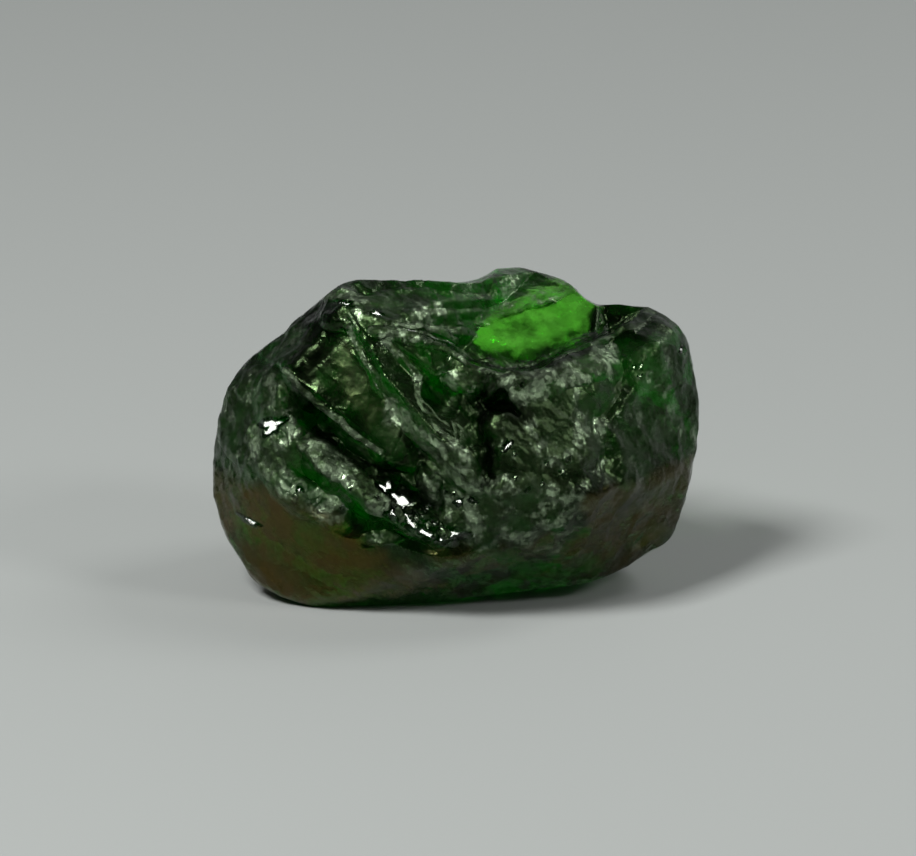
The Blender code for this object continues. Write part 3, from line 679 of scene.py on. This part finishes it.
# One panel of the fan is smooth and yet silky, for its fine tearing is too small to see.
MATT_BANDS = [
    (0.17, 0.30, [(-1.74, 3.24), (-1.47, 2.86), (-1.15, 2.44), (-0.88, 2.08)]),
]

# The lower faces carry a painted warm reflection: a brownish mirroring, with the skin darkened
# under it. Its upper edge: right and up as seen from the front, and how strong the painted
# reflection is below it.
WARM_REFLECTION_EDGE = [
    (-3.70, 1.95, 1.0), (-2.85, 1.44, 1.0), (-2.31, 1.29, 1.0), (-1.84, 0.99, 1.0),
    (-1.44, 0.78, 1.0), (-0.95, 0.46, 0.9), (-0.38, 0.20, 0.6), (0.30, 0.15, 0.3),
    (1.20, 0.30, 0.3), (1.80, 0.90, 0.4), (1.95, 1.22, 0.5), (3.38, 1.70, 0.5),
    (3.70, 1.80, 0.5),
]
WARM_REFLECTION_FADE = 0.22

# Thinner streaks of the painted warm reflection, one of them a painted sheen across a panel of the
# fan: width, strength and line.
WARM_REFLECTION_STREAKS = [
    (0.12, 0.5, [(1.90, 1.10), (2.34, 1.22), (2.71, 1.40), (3.07, 1.52), (3.38, 1.62)]),
    (0.15, 0.4, [(-0.20, 0.40), (0.50, 0.25), (1.30, 0.60)]),
    (0.18, 0.13, [(-1.62, 3.10), (-1.47, 2.86), (-1.15, 2.44)]),
]

# Painted shade in the skin: above zero it darkens the skin and its mirroring in the deep breaks,
# pockets and furrows, where shade falls; below zero the skin is left clear, so the green shows
# through.
PAINTED_SHADE_BANDS = [
    (0.20, 1.0, [(-2.22, 2.50), (-2.05, 2.28), (-1.75, 2.02), (-1.45, 1.86)]),
    (0.22, 0.9, [(-0.95, 1.60), (-0.75, 1.40), (-0.50, 1.10)]),
    (0.22, 1.0, [(0.50, 2.60), (0.80, 2.50)]),
    (0.08, 0.8, [(0.41, 2.40), (0.41, 1.85), (0.47, 1.45)]),
    (0.18, 0.8, [(0.21, 3.10), (1.09, 3.02), (1.53, 3.32), (2.12, 3.47), (2.85, 3.87)]),
    (0.30, 0.6, [(3.35, 3.60), (3.50, 2.60)]),
    (0.25, 0.3, [(0.30, 4.25), (0.90, 4.45), (1.60, 4.30)]),
    (0.24, 0.8, [(-2.16, 3.00), (-2.08, 3.30), (-2.02, 3.50), (-1.82, 3.78)]),
    (0.10, -1.0, [(-1.46, 3.18), (-1.19, 2.66), (-1.04, 2.22), (-0.90, 1.85)]),
    (0.12, -0.8, [(-2.15, 1.62), (-1.85, 1.31), (-1.40, 1.02), (-0.90, 0.80)]),
    (0.50, -0.38, [(0.40, 3.50), (1.20, 3.70), (1.90, 3.85)]),
    (0.12, 0.30, [(0.62, 3.78), (1.00, 3.62)]),
    (0.05, 0.8, [
        (-1.62, 3.40), (-1.42, 3.05), (-1.22, 2.65), (-1.00, 2.28), (-0.74, 1.96), (-0.40, 1.66)]),
    (0.25, -0.7, [(2.00, 2.60), (2.20, 1.90), (2.35, 1.60)]),
    (0.18, -0.5, [(-0.50, 3.15), (-0.30, 2.75), (-0.15, 2.40)]),
    (0.15, -1.0, [(-0.40, 4.20), (0.05, 4.25)]),
    (0.10, -1.0, [(-1.50, -0.22), (-0.85, -0.30)]),
    (0.55, 0.25, [(0.60, 0.40), (1.50, 0.40), (2.20, 0.90)]),
    (0.50, 0.6, [(2.15, 1.05), (2.80, 0.95), (3.15, 1.25)]),
    (0.10, 0.9, [(2.08, 3.60), (2.15, 3.95)]),
    (0.12, -1.0, [(2.55, 0.65), (3.10, 0.60)]),
]

# Sizes of the dished chips, of the tears and the finer hackles, how far those two are drawn out,
# how far all wander, the wide ripples, and how high above the base they are at full height.
SURFACE_SIZES = {
    "Chip spacing": 0.42, "Chip depth": 0.03,
    "Tear spacing": 0.22, "Tear height": 0.12, "Tear stretch": 2.0,
    "Hackle spacing": 0.15, "Hackle height": 0.008, "Hackle stretch": 4.0,
    "Wander spacing": 0.30, "Wander": 0.16,
    "Ripple spacing": 1.1, "Ripple height": 0.05,
    "Base margin": 0.25, "Seed": 3.0,
}

# The tears are soft waves about their middle, and the hackles are sharp ridges above zero: the
# noise's kind, its detail and the level that is taken as zero.
TEARING = {"Tear": ("FBM", 2.0, 0.5), "Hackle": ("RIDGED_MULTIFRACTAL", 1.0, 0.0)}
TEARING_ROUGHNESS = 0.45


def faded(reach):
    """Full strength inside a border and none past it, with a soft edge between."""
    return np.clip(1.0 + FADE_FROM - reach, 0.0, 1.0)


def area_share(across, above, centre, radii):
    """How strongly an area reaches each place."""
    along, beside = oval_places(across, above, centre, radii)
    return faded(along ** 2 + beside ** 2)


def band_shares(across, above, bands):
    """How strongly each of a list of bands reaches each place."""
    for width, strength, line in bands:
        nearest = np.full(across.shape, np.inf)
        for start, end in zip(line[:-1], line[1:]):
            run_x, run_y, share = along_stretch(across, above, start, end)
            share = np.clip(share, 0.0, 1.0)
            off = np.hypot(across - start[0] - share * run_x, above - start[1] - share * run_y)
            nearest = np.minimum(nearest, off)
        yield strength * faded(nearest / width)


def rough_share(points, normals):
    """How hackly the stone is at each point, from 0 to 1, calm where the outline turns away."""
    across, above, _ = seen_places(points)
    share = np.zeros(len(points))
    for centre, radii, strength in ROUGH_AREAS:
        share = np.maximum(share, strength * area_share(across, above, centre, radii))
    bent_across, bent_above = uneven_places(across, above)
    bent_across = across + BAND_BEND * (bent_across - across)
    bent_above = above + BAND_BEND * (bent_above - above)
    for band in band_shares(bent_across, bent_above, FROSTED_BANDS):
        share = np.maximum(share, band)
    calm = np.full(len(points), SLIGHT_TEARING)
    for centre, radii, level in SMOOTH_AREAS:
        calm += (level - calm) * area_share(across, above, centre, radii)
    share = np.maximum(share, calm)
    clear = area_share(across, above, *WALL_CLEAR)
    behind = BACK_ROUGHNESS + (WALL_ROUGHNESS - BACK_ROUGHNESS) * clear
    facing = normals @ TOWARDS
    share = np.where(facing > 0.0, share, behind)
    return share * np.clip(np.abs(facing) / OUTLINE_CALM, 0.0, 1.0)


def painted_warm_reflection_share(across, above):
    """How much painted warm reflection there is at each place, from 0 to 1."""
    edge_right, edge_up, thickness = np.array(WARM_REFLECTION_EDGE).T
    below = np.clip((np.interp(across, edge_right, edge_up) - above) / WARM_REFLECTION_FADE, 0.0, 1.0)
    warm_reflection = below * np.interp(across, edge_right, thickness)
    for streak in band_shares(across, above, WARM_REFLECTION_STREAKS):
        warm_reflection = np.maximum(warm_reflection, streak)
    return warm_reflection


def add_node(tree, kind, inputs=None, **settings):
    """Add a node with its settings, and link or set its inputs."""
    node = tree.nodes.new(kind)
    for name, value in settings.items():
        setattr(node, name, value)
    for socket, value in (inputs or {}).items():
        if isinstance(value, bpy.types.Node):
            value = value.outputs[0]
        if isinstance(value, bpy.types.NodeSocket):
            tree.links.new(value, node.inputs[socket])
        else:
            node.inputs[socket].default_value = value
    return node


def break_surface_tree():
    """Node tree that moves the surface in and out by its chips, tears and ripples."""
    tree = bpy.data.node_groups.new("broken garnet surface", "GeometryNodeTree")
    tree.is_modifier = True
    tree.interface.new_socket("Geometry", in_out="INPUT", socket_type="NodeSocketGeometry")
    for name in SURFACE_SIZES:
        tree.interface.new_socket(name, in_out="INPUT", socket_type="NodeSocketFloat")
    tree.interface.new_socket("Material", in_out="INPUT", socket_type="NodeSocketMaterial")
    tree.interface.new_socket("Geometry", in_out="OUTPUT", socket_type="NodeSocketGeometry")
    given = add_node(tree, "NodeGroupInput").outputs
    hackly = add_node(tree, "GeometryNodeInputNamedAttribute", {"Name": "hackly"},
                      data_type="FLOAT")
    place = add_node(tree, "GeometryNodeInputPosition")

    wandering = add_node(tree, "ShaderNodeVectorMath", {0: place, 1: given["Wander spacing"]},
                         operation="DIVIDE")
    drift = add_node(tree, "ShaderNodeTexNoise", {"Vector": wandering, "Scale": 1.0,
                     "Detail": 2.0}, noise_dimensions="3D")
    drift = add_node(tree, "ShaderNodeVectorMath", {0: drift.outputs["Color"],
                     1: (0.5, 0.5, 0.5)}, operation="SUBTRACT")
    drift = add_node(tree, "ShaderNodeVectorMath", {0: drift, "Scale": given["Wander"]},
                     operation="SCALE")
    bent = add_node(tree, "ShaderNodeVectorMath", {0: place, 1: drift}, operation="ADD")

    spaced = add_node(tree, "ShaderNodeVectorMath", {0: bent, 1: given["Chip spacing"]},
                      operation="DIVIDE")
    cells = add_node(tree, "ShaderNodeTexVoronoi", {"Vector": spaced, "W": given["Seed"],
                     "Scale": 1.0}, voronoi_dimensions="4D", feature="F1")
    across = add_node(tree, "ShaderNodeMath", {0: cells, 1: 2.0}, operation="MULTIPLY")
    dish = add_node(tree, "ShaderNodeMath", {0: across, 1: across}, operation="MULTIPLY")
    rough = add_node(tree, "ShaderNodeMath", {0: dish, 1: given["Chip depth"]},
                     operation="MULTIPLY")

    right, up = Vector(RIGHT), Vector(UP)
    down_right, up_right, near = (
        add_node(tree, "ShaderNodeVectorMath", {0: bent, 1: axis},
                 operation="DOT_PRODUCT").outputs["Value"]
        for axis in ((right - up).normalized(), (right + up).normalized(), Vector(TOWARDS)))
    for kind, (noise, detail, level) in TEARING.items():
        drawn = add_node(tree, "ShaderNodeMath", {0: down_right, 1: given[kind + " stretch"]},
                         operation="DIVIDE")
        torn = add_node(tree, "ShaderNodeCombineXYZ", {0: drawn, 1: up_right, 2: near})
        torn = add_node(tree, "ShaderNodeVectorMath", {0: torn, 1: given[kind + " spacing"]},
                        operation="DIVIDE")
        ridges = add_node(tree, "ShaderNodeTexNoise", {"Vector": torn, "Scale": 1.0,
                          "Detail": detail, "Roughness": TEARING_ROUGHNESS},
                          noise_dimensions="3D", noise_type=noise)
        ridges = add_node(tree, "ShaderNodeMath", {0: ridges, 1: level}, operation="SUBTRACT")
        tears = add_node(tree, "ShaderNodeMath", {0: ridges, 1: given[kind + " height"]},
                         operation="MULTIPLY")
        rough = add_node(tree, "ShaderNodeMath", {0: rough, 1: tears}, operation="ADD")
    rough = add_node(tree, "ShaderNodeMath", {0: rough, 1: hackly}, operation="MULTIPLY")

    wide = add_node(tree, "ShaderNodeVectorMath", {0: place, 1: given["Ripple spacing"]},
                    operation="DIVIDE")
    waves = add_node(tree, "ShaderNodeTexNoise", {"Vector": wide, "Scale": 1.0, "Detail": 1.0},
                     noise_dimensions="3D")
    waves = add_node(tree, "ShaderNodeMath", {0: waves, 1: 0.5}, operation="SUBTRACT")
    swell = add_node(tree, "ShaderNodeMath", {0: waves, 1: given["Ripple height"]},
                     operation="MULTIPLY")
    height = add_node(tree, "ShaderNodeMath", {0: rough, 1: swell}, operation="ADD")
    upright = add_node(tree, "ShaderNodeSeparateXYZ", {0: place}).outputs["Z"]
    clear = add_node(tree, "ShaderNodeMath", {0: upright, 1: given["Base margin"]},
                     operation="DIVIDE", use_clamp=True)
    height = add_node(tree, "ShaderNodeMath", {0: height, 1: clear}, operation="MULTIPLY")
    outward = add_node(tree, "GeometryNodeInputNormal")
    shift = add_node(tree, "ShaderNodeVectorMath", {0: outward, "Scale": height},
                     operation="SCALE")
    moved = add_node(tree, "GeometryNodeSetPosition",
                     {"Geometry": given["Geometry"], "Offset": shift})
    real = add_node(tree, "GeometryNodeRealizeInstances", {"Geometry": moved})
    dressed = add_node(tree, "GeometryNodeSetMaterial",
                       {"Geometry": real, "Material": given["Material"]})
    add_node(tree, "NodeGroupOutput", {"Geometry": dressed})
    return tree


hackly = rough_share(chipped, mesh_normals(rough_mesh))
hackly += (CHIP_TEARING - hackly) * np.clip(flat, 0.0, 1.0)
uneven = uneven_places(*seen_places(chipped)[:2])
# The painted warm reflection and the painted shade are kept on the points for the material.
for name, values in {
        "hackly": hackly,
        "painted_warm_reflection": painted_warm_reflection_share(*uneven) * (1.0 - flat),
        "gleaming": flat - sum(band_shares(*uneven, MATT_BANDS)),
        "painted_shade": np.clip(sum(band_shares(*uneven, PAINTED_SHADE_BANDS)), -1.0, 1.0)}.items():
    rough_mesh.attributes.new(name, "FLOAT", "POINT").data.foreach_set("value", values)


# The crystal.
# Tsavorite is green grossular garnet, a clear crystal with a refractive index of 1.74. It soaks
# up red and blue within a fraction of a millimetre, so the thin wall glows green and the body
# is nearly black. Absorption is per millimetre of crystal, for red, green and blue.
GARNET_IOR = 1.74
ABSORPTION_PER_MM = (4.8, 0.55, 8.0)
MM = 0.001

# A clean break is glossy, and one torn by more than the first share is duller, up to the second.
GLOSSY_ROUGHNESS = 0.14
FROSTED_ROUGHNESS = 0.60
DULL_SHARES = (0.28, 0.9)

# How strongly each finish mirrors red, green and blue, beside a plain garnet surface: the clean
# crystal, the crushed grains from dim to bright, the painted warm reflection and the flat chips.
# The grains pass 1, because they turn many more faces to the light than the mesh has.
CLEAN_TINT = (0.36, 0.58, 0.24)
CRUSHED_TINT = (0.65, 1.10, 0.45)
CRUSHED_BRIGHT_TINT = (3.8, 5.0, 3.2)
WARM_REFLECTION_TINT = (0.92, 0.64, 0.16)
GLEAM_TINT = (0.62, 0.66, 0.60)

# The torn parts are crushed in lumps, which show where tearing and lumps together pass a level.
# Real crushed grains are a few hundredths of a millimetre, too fine to show, so each is drawn
# coarser: its width, how far its face tilts, its shade from dim to bright, and the grit on it.
LUMP_SPACING = 0.42
LUMP_LEVELS = (0.40, 0.64)
LUMP_SHARE = 0.6
CRUSHED_LEVELS = (0.86, 1.25)
GRAIN_SPACING = 0.075
GRAIN_TILT = 0.22
GRAIN_DIMMEST = 0.30
GRAIN_SHADES = (0.50, 1.7)
GRIT_SPACING = 0.10
GRIT_HEIGHT = 0.02

# The painted warm reflection is broken up in patches, and the mirroring is painted darker towards
# the base and in the deep breaks, as painted shade.
WARM_REFLECTION_PATCH_SPACING = 0.60
WARM_REFLECTION_PATCH_LEVELS = (0.34, 0.58)
WARM_REFLECTION_LEAST = 0.35
SHADED_BASE_HEIGHT = 2.4
SHADED_BASE_MIRRORING = 0.12
SHADED_MIRRORING = 0.25

# Under the skin, small clouds of inclusions and crushed grains hold back the light. The same dark
# colour also carries the painted shade of the deep breaks and darkens the skin under the painted
# warm reflection.
CLEAR_COLOR = "#F4FFF2"
CLOUD_AND_SHADE_COLOR = "#1C281A"
CLOUD_SPACING = 0.38
CLOUD_LEVELS = (0.38, 0.60)
CLOUD_MOST = 0.9
CRUSHED_CLOUDING = 0.45

# The finished mesh is thinned to this many triangles.
TRIANGLE_BUDGET = 192000


def linear_color(hex_color):
    """An sRGB hex colour as linear red, green, blue and alpha."""
    channels = [int(hex_color[i:i + 2], 16) / 255.0 for i in (1, 3, 5)]
    linear = [c / 12.92 if c <= 0.04045 else ((c + 0.055) / 1.055) ** 2.4 for c in channels]
    return (*linear, 1.0)


def garnet_crystal():
    """Clear green garnet: glossy where it broke clean, frosted where it is hackly, with painted
    shade and a painted warm reflection.
    """
    material = bpy.data.materials.new("tsavorite_garnet_broken")
    material.use_nodes = True
    tree = material.node_tree
    shader = tree.nodes["Principled BSDF"]
    shader.inputs["Transmission Weight"].default_value = 1.0
    shader.inputs["IOR"].default_value = GARNET_IOR
    frost, gleam, warm_reflection, painted_shade = (
        add_node(tree, "ShaderNodeAttribute", attribute_name=name).outputs["Fac"]
        for name in ("hackly", "gleaming", "painted_warm_reflection", "painted_shade"))
    place = add_node(tree, "ShaderNodeTexCoord").outputs["Object"]
    place = add_node(tree, "ShaderNodeVectorMath", {0: place, "Scale": 1.0 / MM},
                     operation="SCALE")

    grains = add_node(tree, "ShaderNodeTexVoronoi", {"Vector": place,
                      "Scale": 1.0 / GRAIN_SPACING}, feature="F1").outputs
    random_tilt = add_node(tree, "ShaderNodeVectorMath", {0: grains["Color"],
                           1: (0.5, 0.5, 0.5)}, operation="SUBTRACT")
    from_middle = add_node(tree, "ShaderNodeVectorMath", {0: place, 1: grains["Position"]},
                           operation="SUBTRACT")
    facets = add_node(tree, "ShaderNodeVectorMath", {0: from_middle, 1: random_tilt},
                      operation="DOT_PRODUCT").outputs["Value"]
    facets = add_node(tree, "ShaderNodeMath", {0: facets, 1: GRAIN_TILT}, operation="MULTIPLY")
    grit = add_node(tree, "ShaderNodeTexNoise", {"Vector": place, "Scale": 1.0 / GRIT_SPACING,
                    "Detail": 3.0, "Roughness": 0.6})
    grit = add_node(tree, "ShaderNodeMath", {0: grit, 1: GRIT_HEIGHT}, operation="MULTIPLY")
    height = add_node(tree, "ShaderNodeMath", {0: facets, 1: grit}, operation="ADD")
    height = add_node(tree, "ShaderNodeMath", {0: height, 1: frost}, operation="MULTIPLY")
    bump = add_node(tree, "ShaderNodeBump", {"Height": height, "Strength": 1.0, "Distance": MM})
    tree.links.new(bump.outputs[0], shader.inputs["Normal"])

    dull = add_node(tree, "ShaderNodeMath", {0: frost, 1: gleam}, operation="SUBTRACT")
    roughness = add_node(tree, "ShaderNodeMapRange", {
        "Value": dull, "From Min": DULL_SHARES[0], "From Max": DULL_SHARES[1],
        "To Min": GLOSSY_ROUGHNESS, "To Max": FROSTED_ROUGHNESS})
    tree.links.new(roughness.outputs[0], shader.inputs["Roughness"])

    lumps = add_node(tree, "ShaderNodeTexNoise", {"Vector": place,
                     "Scale": 1.0 / LUMP_SPACING, "Detail": 5.0, "Roughness": 0.75})
    lumps = add_node(tree, "ShaderNodeMapRange", {
        "Value": lumps, "From Min": LUMP_LEVELS[0], "From Max": LUMP_LEVELS[1]},
        interpolation_type="SMOOTHSTEP")
    crushed = add_node(tree, "ShaderNodeMath", {0: lumps, 1: LUMP_SHARE, 2: frost},
                       operation="MULTIPLY_ADD")
    crushed = add_node(tree, "ShaderNodeMapRange", {
        "Value": crushed, "From Min": CRUSHED_LEVELS[0], "From Max": CRUSHED_LEVELS[1]},
        interpolation_type="SMOOTHSTEP")
    tint = add_node(tree, "ShaderNodeMix", {"Factor": lumps, 4: CRUSHED_TINT,
                    5: CRUSHED_BRIGHT_TINT}, data_type="VECTOR").outputs[1]
    grain = add_node(tree, "ShaderNodeSeparateXYZ", {0: grains["Color"]}).outputs["X"]
    grain = add_node(tree, "ShaderNodeMapRange", {
        "Value": grain, "From Min": GRAIN_DIMMEST,
        "To Min": GRAIN_SHADES[0], "To Max": GRAIN_SHADES[1]})
    tint = add_node(tree, "ShaderNodeVectorMath", {0: tint, "Scale": grain}, operation="SCALE")
    tint = add_node(tree, "ShaderNodeMix", {"Factor": crushed, 4: CLEAN_TINT, 5: tint},
                    data_type="VECTOR").outputs[1]

    # Painted shade: the mirroring is dimmed in the deep breaks and towards the base.
    mirror_shade = add_node(tree, "ShaderNodeMapRange", {"Value": painted_shade, "To Min": 1.0,
                      "To Max": SHADED_MIRRORING})
    upright = add_node(tree, "ShaderNodeSeparateXYZ", {0: place}).outputs["Z"]
    base_shade = add_node(tree, "ShaderNodeMapRange", {"Value": upright, "From Max": SHADED_BASE_HEIGHT,
                      "To Min": SHADED_BASE_MIRRORING})
    mirror_shade = add_node(tree, "ShaderNodeMath", {0: mirror_shade, 1: base_shade}, operation="MULTIPLY")
    tint = add_node(tree, "ShaderNodeVectorMath", {0: tint, "Scale": mirror_shade},
                    operation="SCALE").outputs[0]
    # Painted warm reflection: a brownish mirroring on the lower faces, broken up in noise patches.
    reflection_patches = add_node(tree, "ShaderNodeTexNoise", {"Vector": place, "Scale": 1.0 / WARM_REFLECTION_PATCH_SPACING,
                    "Detail": 4.0, "Roughness": 0.6})
    reflection_patches = add_node(tree, "ShaderNodeMapRange", {
        "Value": reflection_patches, "From Min": WARM_REFLECTION_PATCH_LEVELS[0], "From Max": WARM_REFLECTION_PATCH_LEVELS[1],
        "To Min": WARM_REFLECTION_LEAST})
    warm_reflection = add_node(tree, "ShaderNodeMath", {0: warm_reflection, 1: reflection_patches}, operation="MULTIPLY")
    for share, finish in ((warm_reflection, WARM_REFLECTION_TINT), (gleam, GLEAM_TINT)):
        tint = add_node(tree, "ShaderNodeMix", {"Factor": share, 4: tint, 5: finish},
                        data_type="VECTOR").outputs[1]
    tree.links.new(tint, shader.inputs["Specular Tint"])

    # The skin darkens in noise clouds of inclusions, and as painted shade in the deep breaks and
    # under the painted warm reflection.
    clouds_and_shade = add_node(tree, "ShaderNodeTexNoise", {"Vector": place,
                      "Scale": 1.0 / CLOUD_SPACING, "Detail": 4.0, "Roughness": 0.6})
    clouds_and_shade = add_node(tree, "ShaderNodeMapRange", {
        "Value": clouds_and_shade, "From Min": CLOUD_LEVELS[0], "From Max": CLOUD_LEVELS[1],
        "To Max": CLOUD_MOST})
    clouds_and_shade = add_node(tree, "ShaderNodeMath", {0: clouds_and_shade, 1: painted_shade}, operation="ADD")
    clouds_and_shade = add_node(tree, "ShaderNodeMath", {0: crushed, 1: CRUSHED_CLOUDING, 2: clouds_and_shade},
                      operation="MULTIPLY_ADD")
    clouds_and_shade = add_node(tree, "ShaderNodeMath", {0: clouds_and_shade, 1: warm_reflection}, operation="MAXIMUM",
                      use_clamp=True)
    skin = add_node(tree, "ShaderNodeMix", {"Factor": clouds_and_shade, 6: linear_color(CLEAR_COLOR),
                    7: linear_color(CLOUD_AND_SHADE_COLOR)}, data_type="RGBA").outputs[2]
    tree.links.new(skin, shader.inputs["Base Color"])

    densest = max(ABSORPTION_PER_MM)
    passed = [1.0 - each / densest for each in ABSORPTION_PER_MM]
    absorption = add_node(tree, "ShaderNodeVolumeAbsorption",
                          {"Color": (*passed, 1.0), "Density": densest / MM})
    tree.links.new(absorption.outputs[0], tree.nodes["Material Output"].inputs["Volume"])
    return material


def set_modifier_inputs(modifier, values):
    """Give a node modifier its inputs, each by its socket's identifier."""
    for item in modifier.node_group.interface.items_tree:
        if item.in_out == "INPUT" and item.name in values:
            modifier[item.identifier] = values[item.name]


def finished_mesh(mesh):
    """The stone's mesh with its broken surface and its material, thinned to its budget."""
    blank = bpy.data.objects.new("stone before its surface", mesh)
    bpy.context.scene.collection.objects.link(blank)
    surface = blank.modifiers.new("broken surface", "NODES")
    surface.node_group = break_surface_tree()
    set_modifier_inputs(surface, {**SURFACE_SIZES, "Material": garnet_crystal()})
    thin = blank.modifiers.new("fewer faces", "DECIMATE")
    thin.ratio = TRIANGLE_BUDGET / len(mesh.polygons)
    scene_state = bpy.context.evaluated_depsgraph_get()
    finished = bpy.data.meshes.new_from_object(
        blank.evaluated_get(scene_state), preserve_all_data_layers=True, depsgraph=scene_state)
    bpy.data.objects.remove(blank)
    return finished


def seat_in_box(mesh, low, high):
    """Bring the stone to its real size, in metres, with its base on zero."""
    points = mesh_points(mesh)
    points[:, 2] = np.maximum(points[:, 2], 0.0)
    own_low = points.min(axis=0)
    own_high = points.max(axis=0)
    scale = (high[0] - low[0]) / (own_high[0] - own_low[0])
    points[:, :2] -= (own_low[:2] + own_high[:2]) / 2.0
    points *= scale
    points[:, :2] += (np.array(high[:2]) + np.array(low[:2])) / 2.0
    set_points(mesh, points)


stone_mesh = finished_mesh(rough_mesh)
seat_in_box(stone_mesh, *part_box("garnet"))
stone = bpy.data.objects.new("broken_garnet", stone_mesh)
bpy.context.scene.collection.objects.link(stone)
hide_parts("garnet")
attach(stone, "root")


# The table, the light and the camera.
# The stone lies on a pale matt board under three small softboxes, which leave sharp glints on
# the flat chips. Sizes and distances here are metres, and powers are watts.
FLOOR_SIZE = 0.6
FLOOR_COLOR = "#B1B5B2"
FLOOR_ROUGHNESS = 0.8

bpy.ops.mesh.primitive_plane_add(size=FLOOR_SIZE, location=(0.0, 0.0, 0.0))
floor = bpy.context.object
floor.name = "pale_floor"
board = bpy.data.materials.new("pale_matt_board")
board.use_nodes = True
board_inputs = board.node_tree.nodes["Principled BSDF"].inputs
board_inputs["Base Color"].default_value = linear_color(FLOOR_COLOR)
board_inputs["Roughness"].default_value = FLOOR_ROUGHNESS
floor.data.materials.append(board)

# Each softbox is square: azimuth and elevation, width and power.
SOFTBOXES = {
    "left softbox": (LAMPS["left"], 0.03, 0.085),
    "right softbox": (LAMPS["right"], 0.02, 0.018),
    "back softbox": ((112.0, 48.0), 0.035, 0.018),
}
LIGHT_DISTANCE = 0.10
LIGHT_AIM = Vector((0.0, 0.0, 0.002))

for name, (place, width, power) in SOFTBOXES.items():
    lamp = bpy.data.lights.new(name, "AREA")
    lamp.size = width
    lamp.energy = power
    light = bpy.data.objects.new(name, lamp)
    outward = lamp_direction(*place)
    light.location = LIGHT_AIM + outward * LIGHT_DISTANCE
    light.rotation_euler = outward.to_track_quat("Z", "Y").to_euler()
    bpy.context.scene.collection.objects.link(light)

# The room is dim, with a pale wall that fades in behind the stone, most of it on the right.
ROOM_COLOR = "#F2F6F5"
WALL_TOWARDS = (0.65, 0.90, 0.0)
WALL_EDGE = (0.40, 0.95)
ROOM_GLOW = (0.05, 0.48)

world = bpy.data.worlds.new("studio")
bpy.context.scene.world = world
world.use_nodes = True
sky = world.node_tree
direction = add_node(sky, "ShaderNodeTexCoord").outputs["Generated"]
behind = add_node(sky, "ShaderNodeVectorMath", {0: direction, 1: WALL_TOWARDS},
                  operation="DOT_PRODUCT").outputs["Value"]
glow = add_node(sky, "ShaderNodeMapRange", {
    "Value": behind, "From Min": WALL_EDGE[0], "From Max": WALL_EDGE[1],
    "To Min": ROOM_GLOW[0], "To Max": ROOM_GLOW[1]})
sky.links.new(glow.outputs[0], sky.nodes["Background"].inputs["Strength"])
sky.nodes["Background"].inputs["Color"].default_value = linear_color(ROOM_COLOR)

# The camera is as far away as a long lens needs to show 68 pixels to a millimetre, and looks
# at this point inside the stone, in millimetres right and up.
PIXELS_PER_MM = 68.0
IMAGE_WIDTH = 916
CENTRE_RIGHT = 0.03
CENTRE_UP = 2.366
LENS = 400.0
SENSOR = 36.0
NEAREST_SEEN = 0.001

camera_data = bpy.data.cameras.new("camera")
camera_data.lens = LENS
camera_data.sensor_width = SENSOR
camera_data.clip_start = NEAREST_SEEN
camera = bpy.data.objects.new("camera", camera_data)
bpy.context.scene.collection.objects.link(camera)
distance = IMAGE_WIDTH / PIXELS_PER_MM * MM * LENS / SENSOR
looking_back = Vector(TOWARDS)
camera.location = Vector((CENTRE_RIGHT * MM, 0.0, CENTRE_UP * MM)) + looking_back * distance
camera.rotation_euler = looking_back.to_track_quat("Z", "Y").to_euler()
bpy.context.scene.camera = camera
bpy.context.scene.view_settings.view_transform = "Standard"
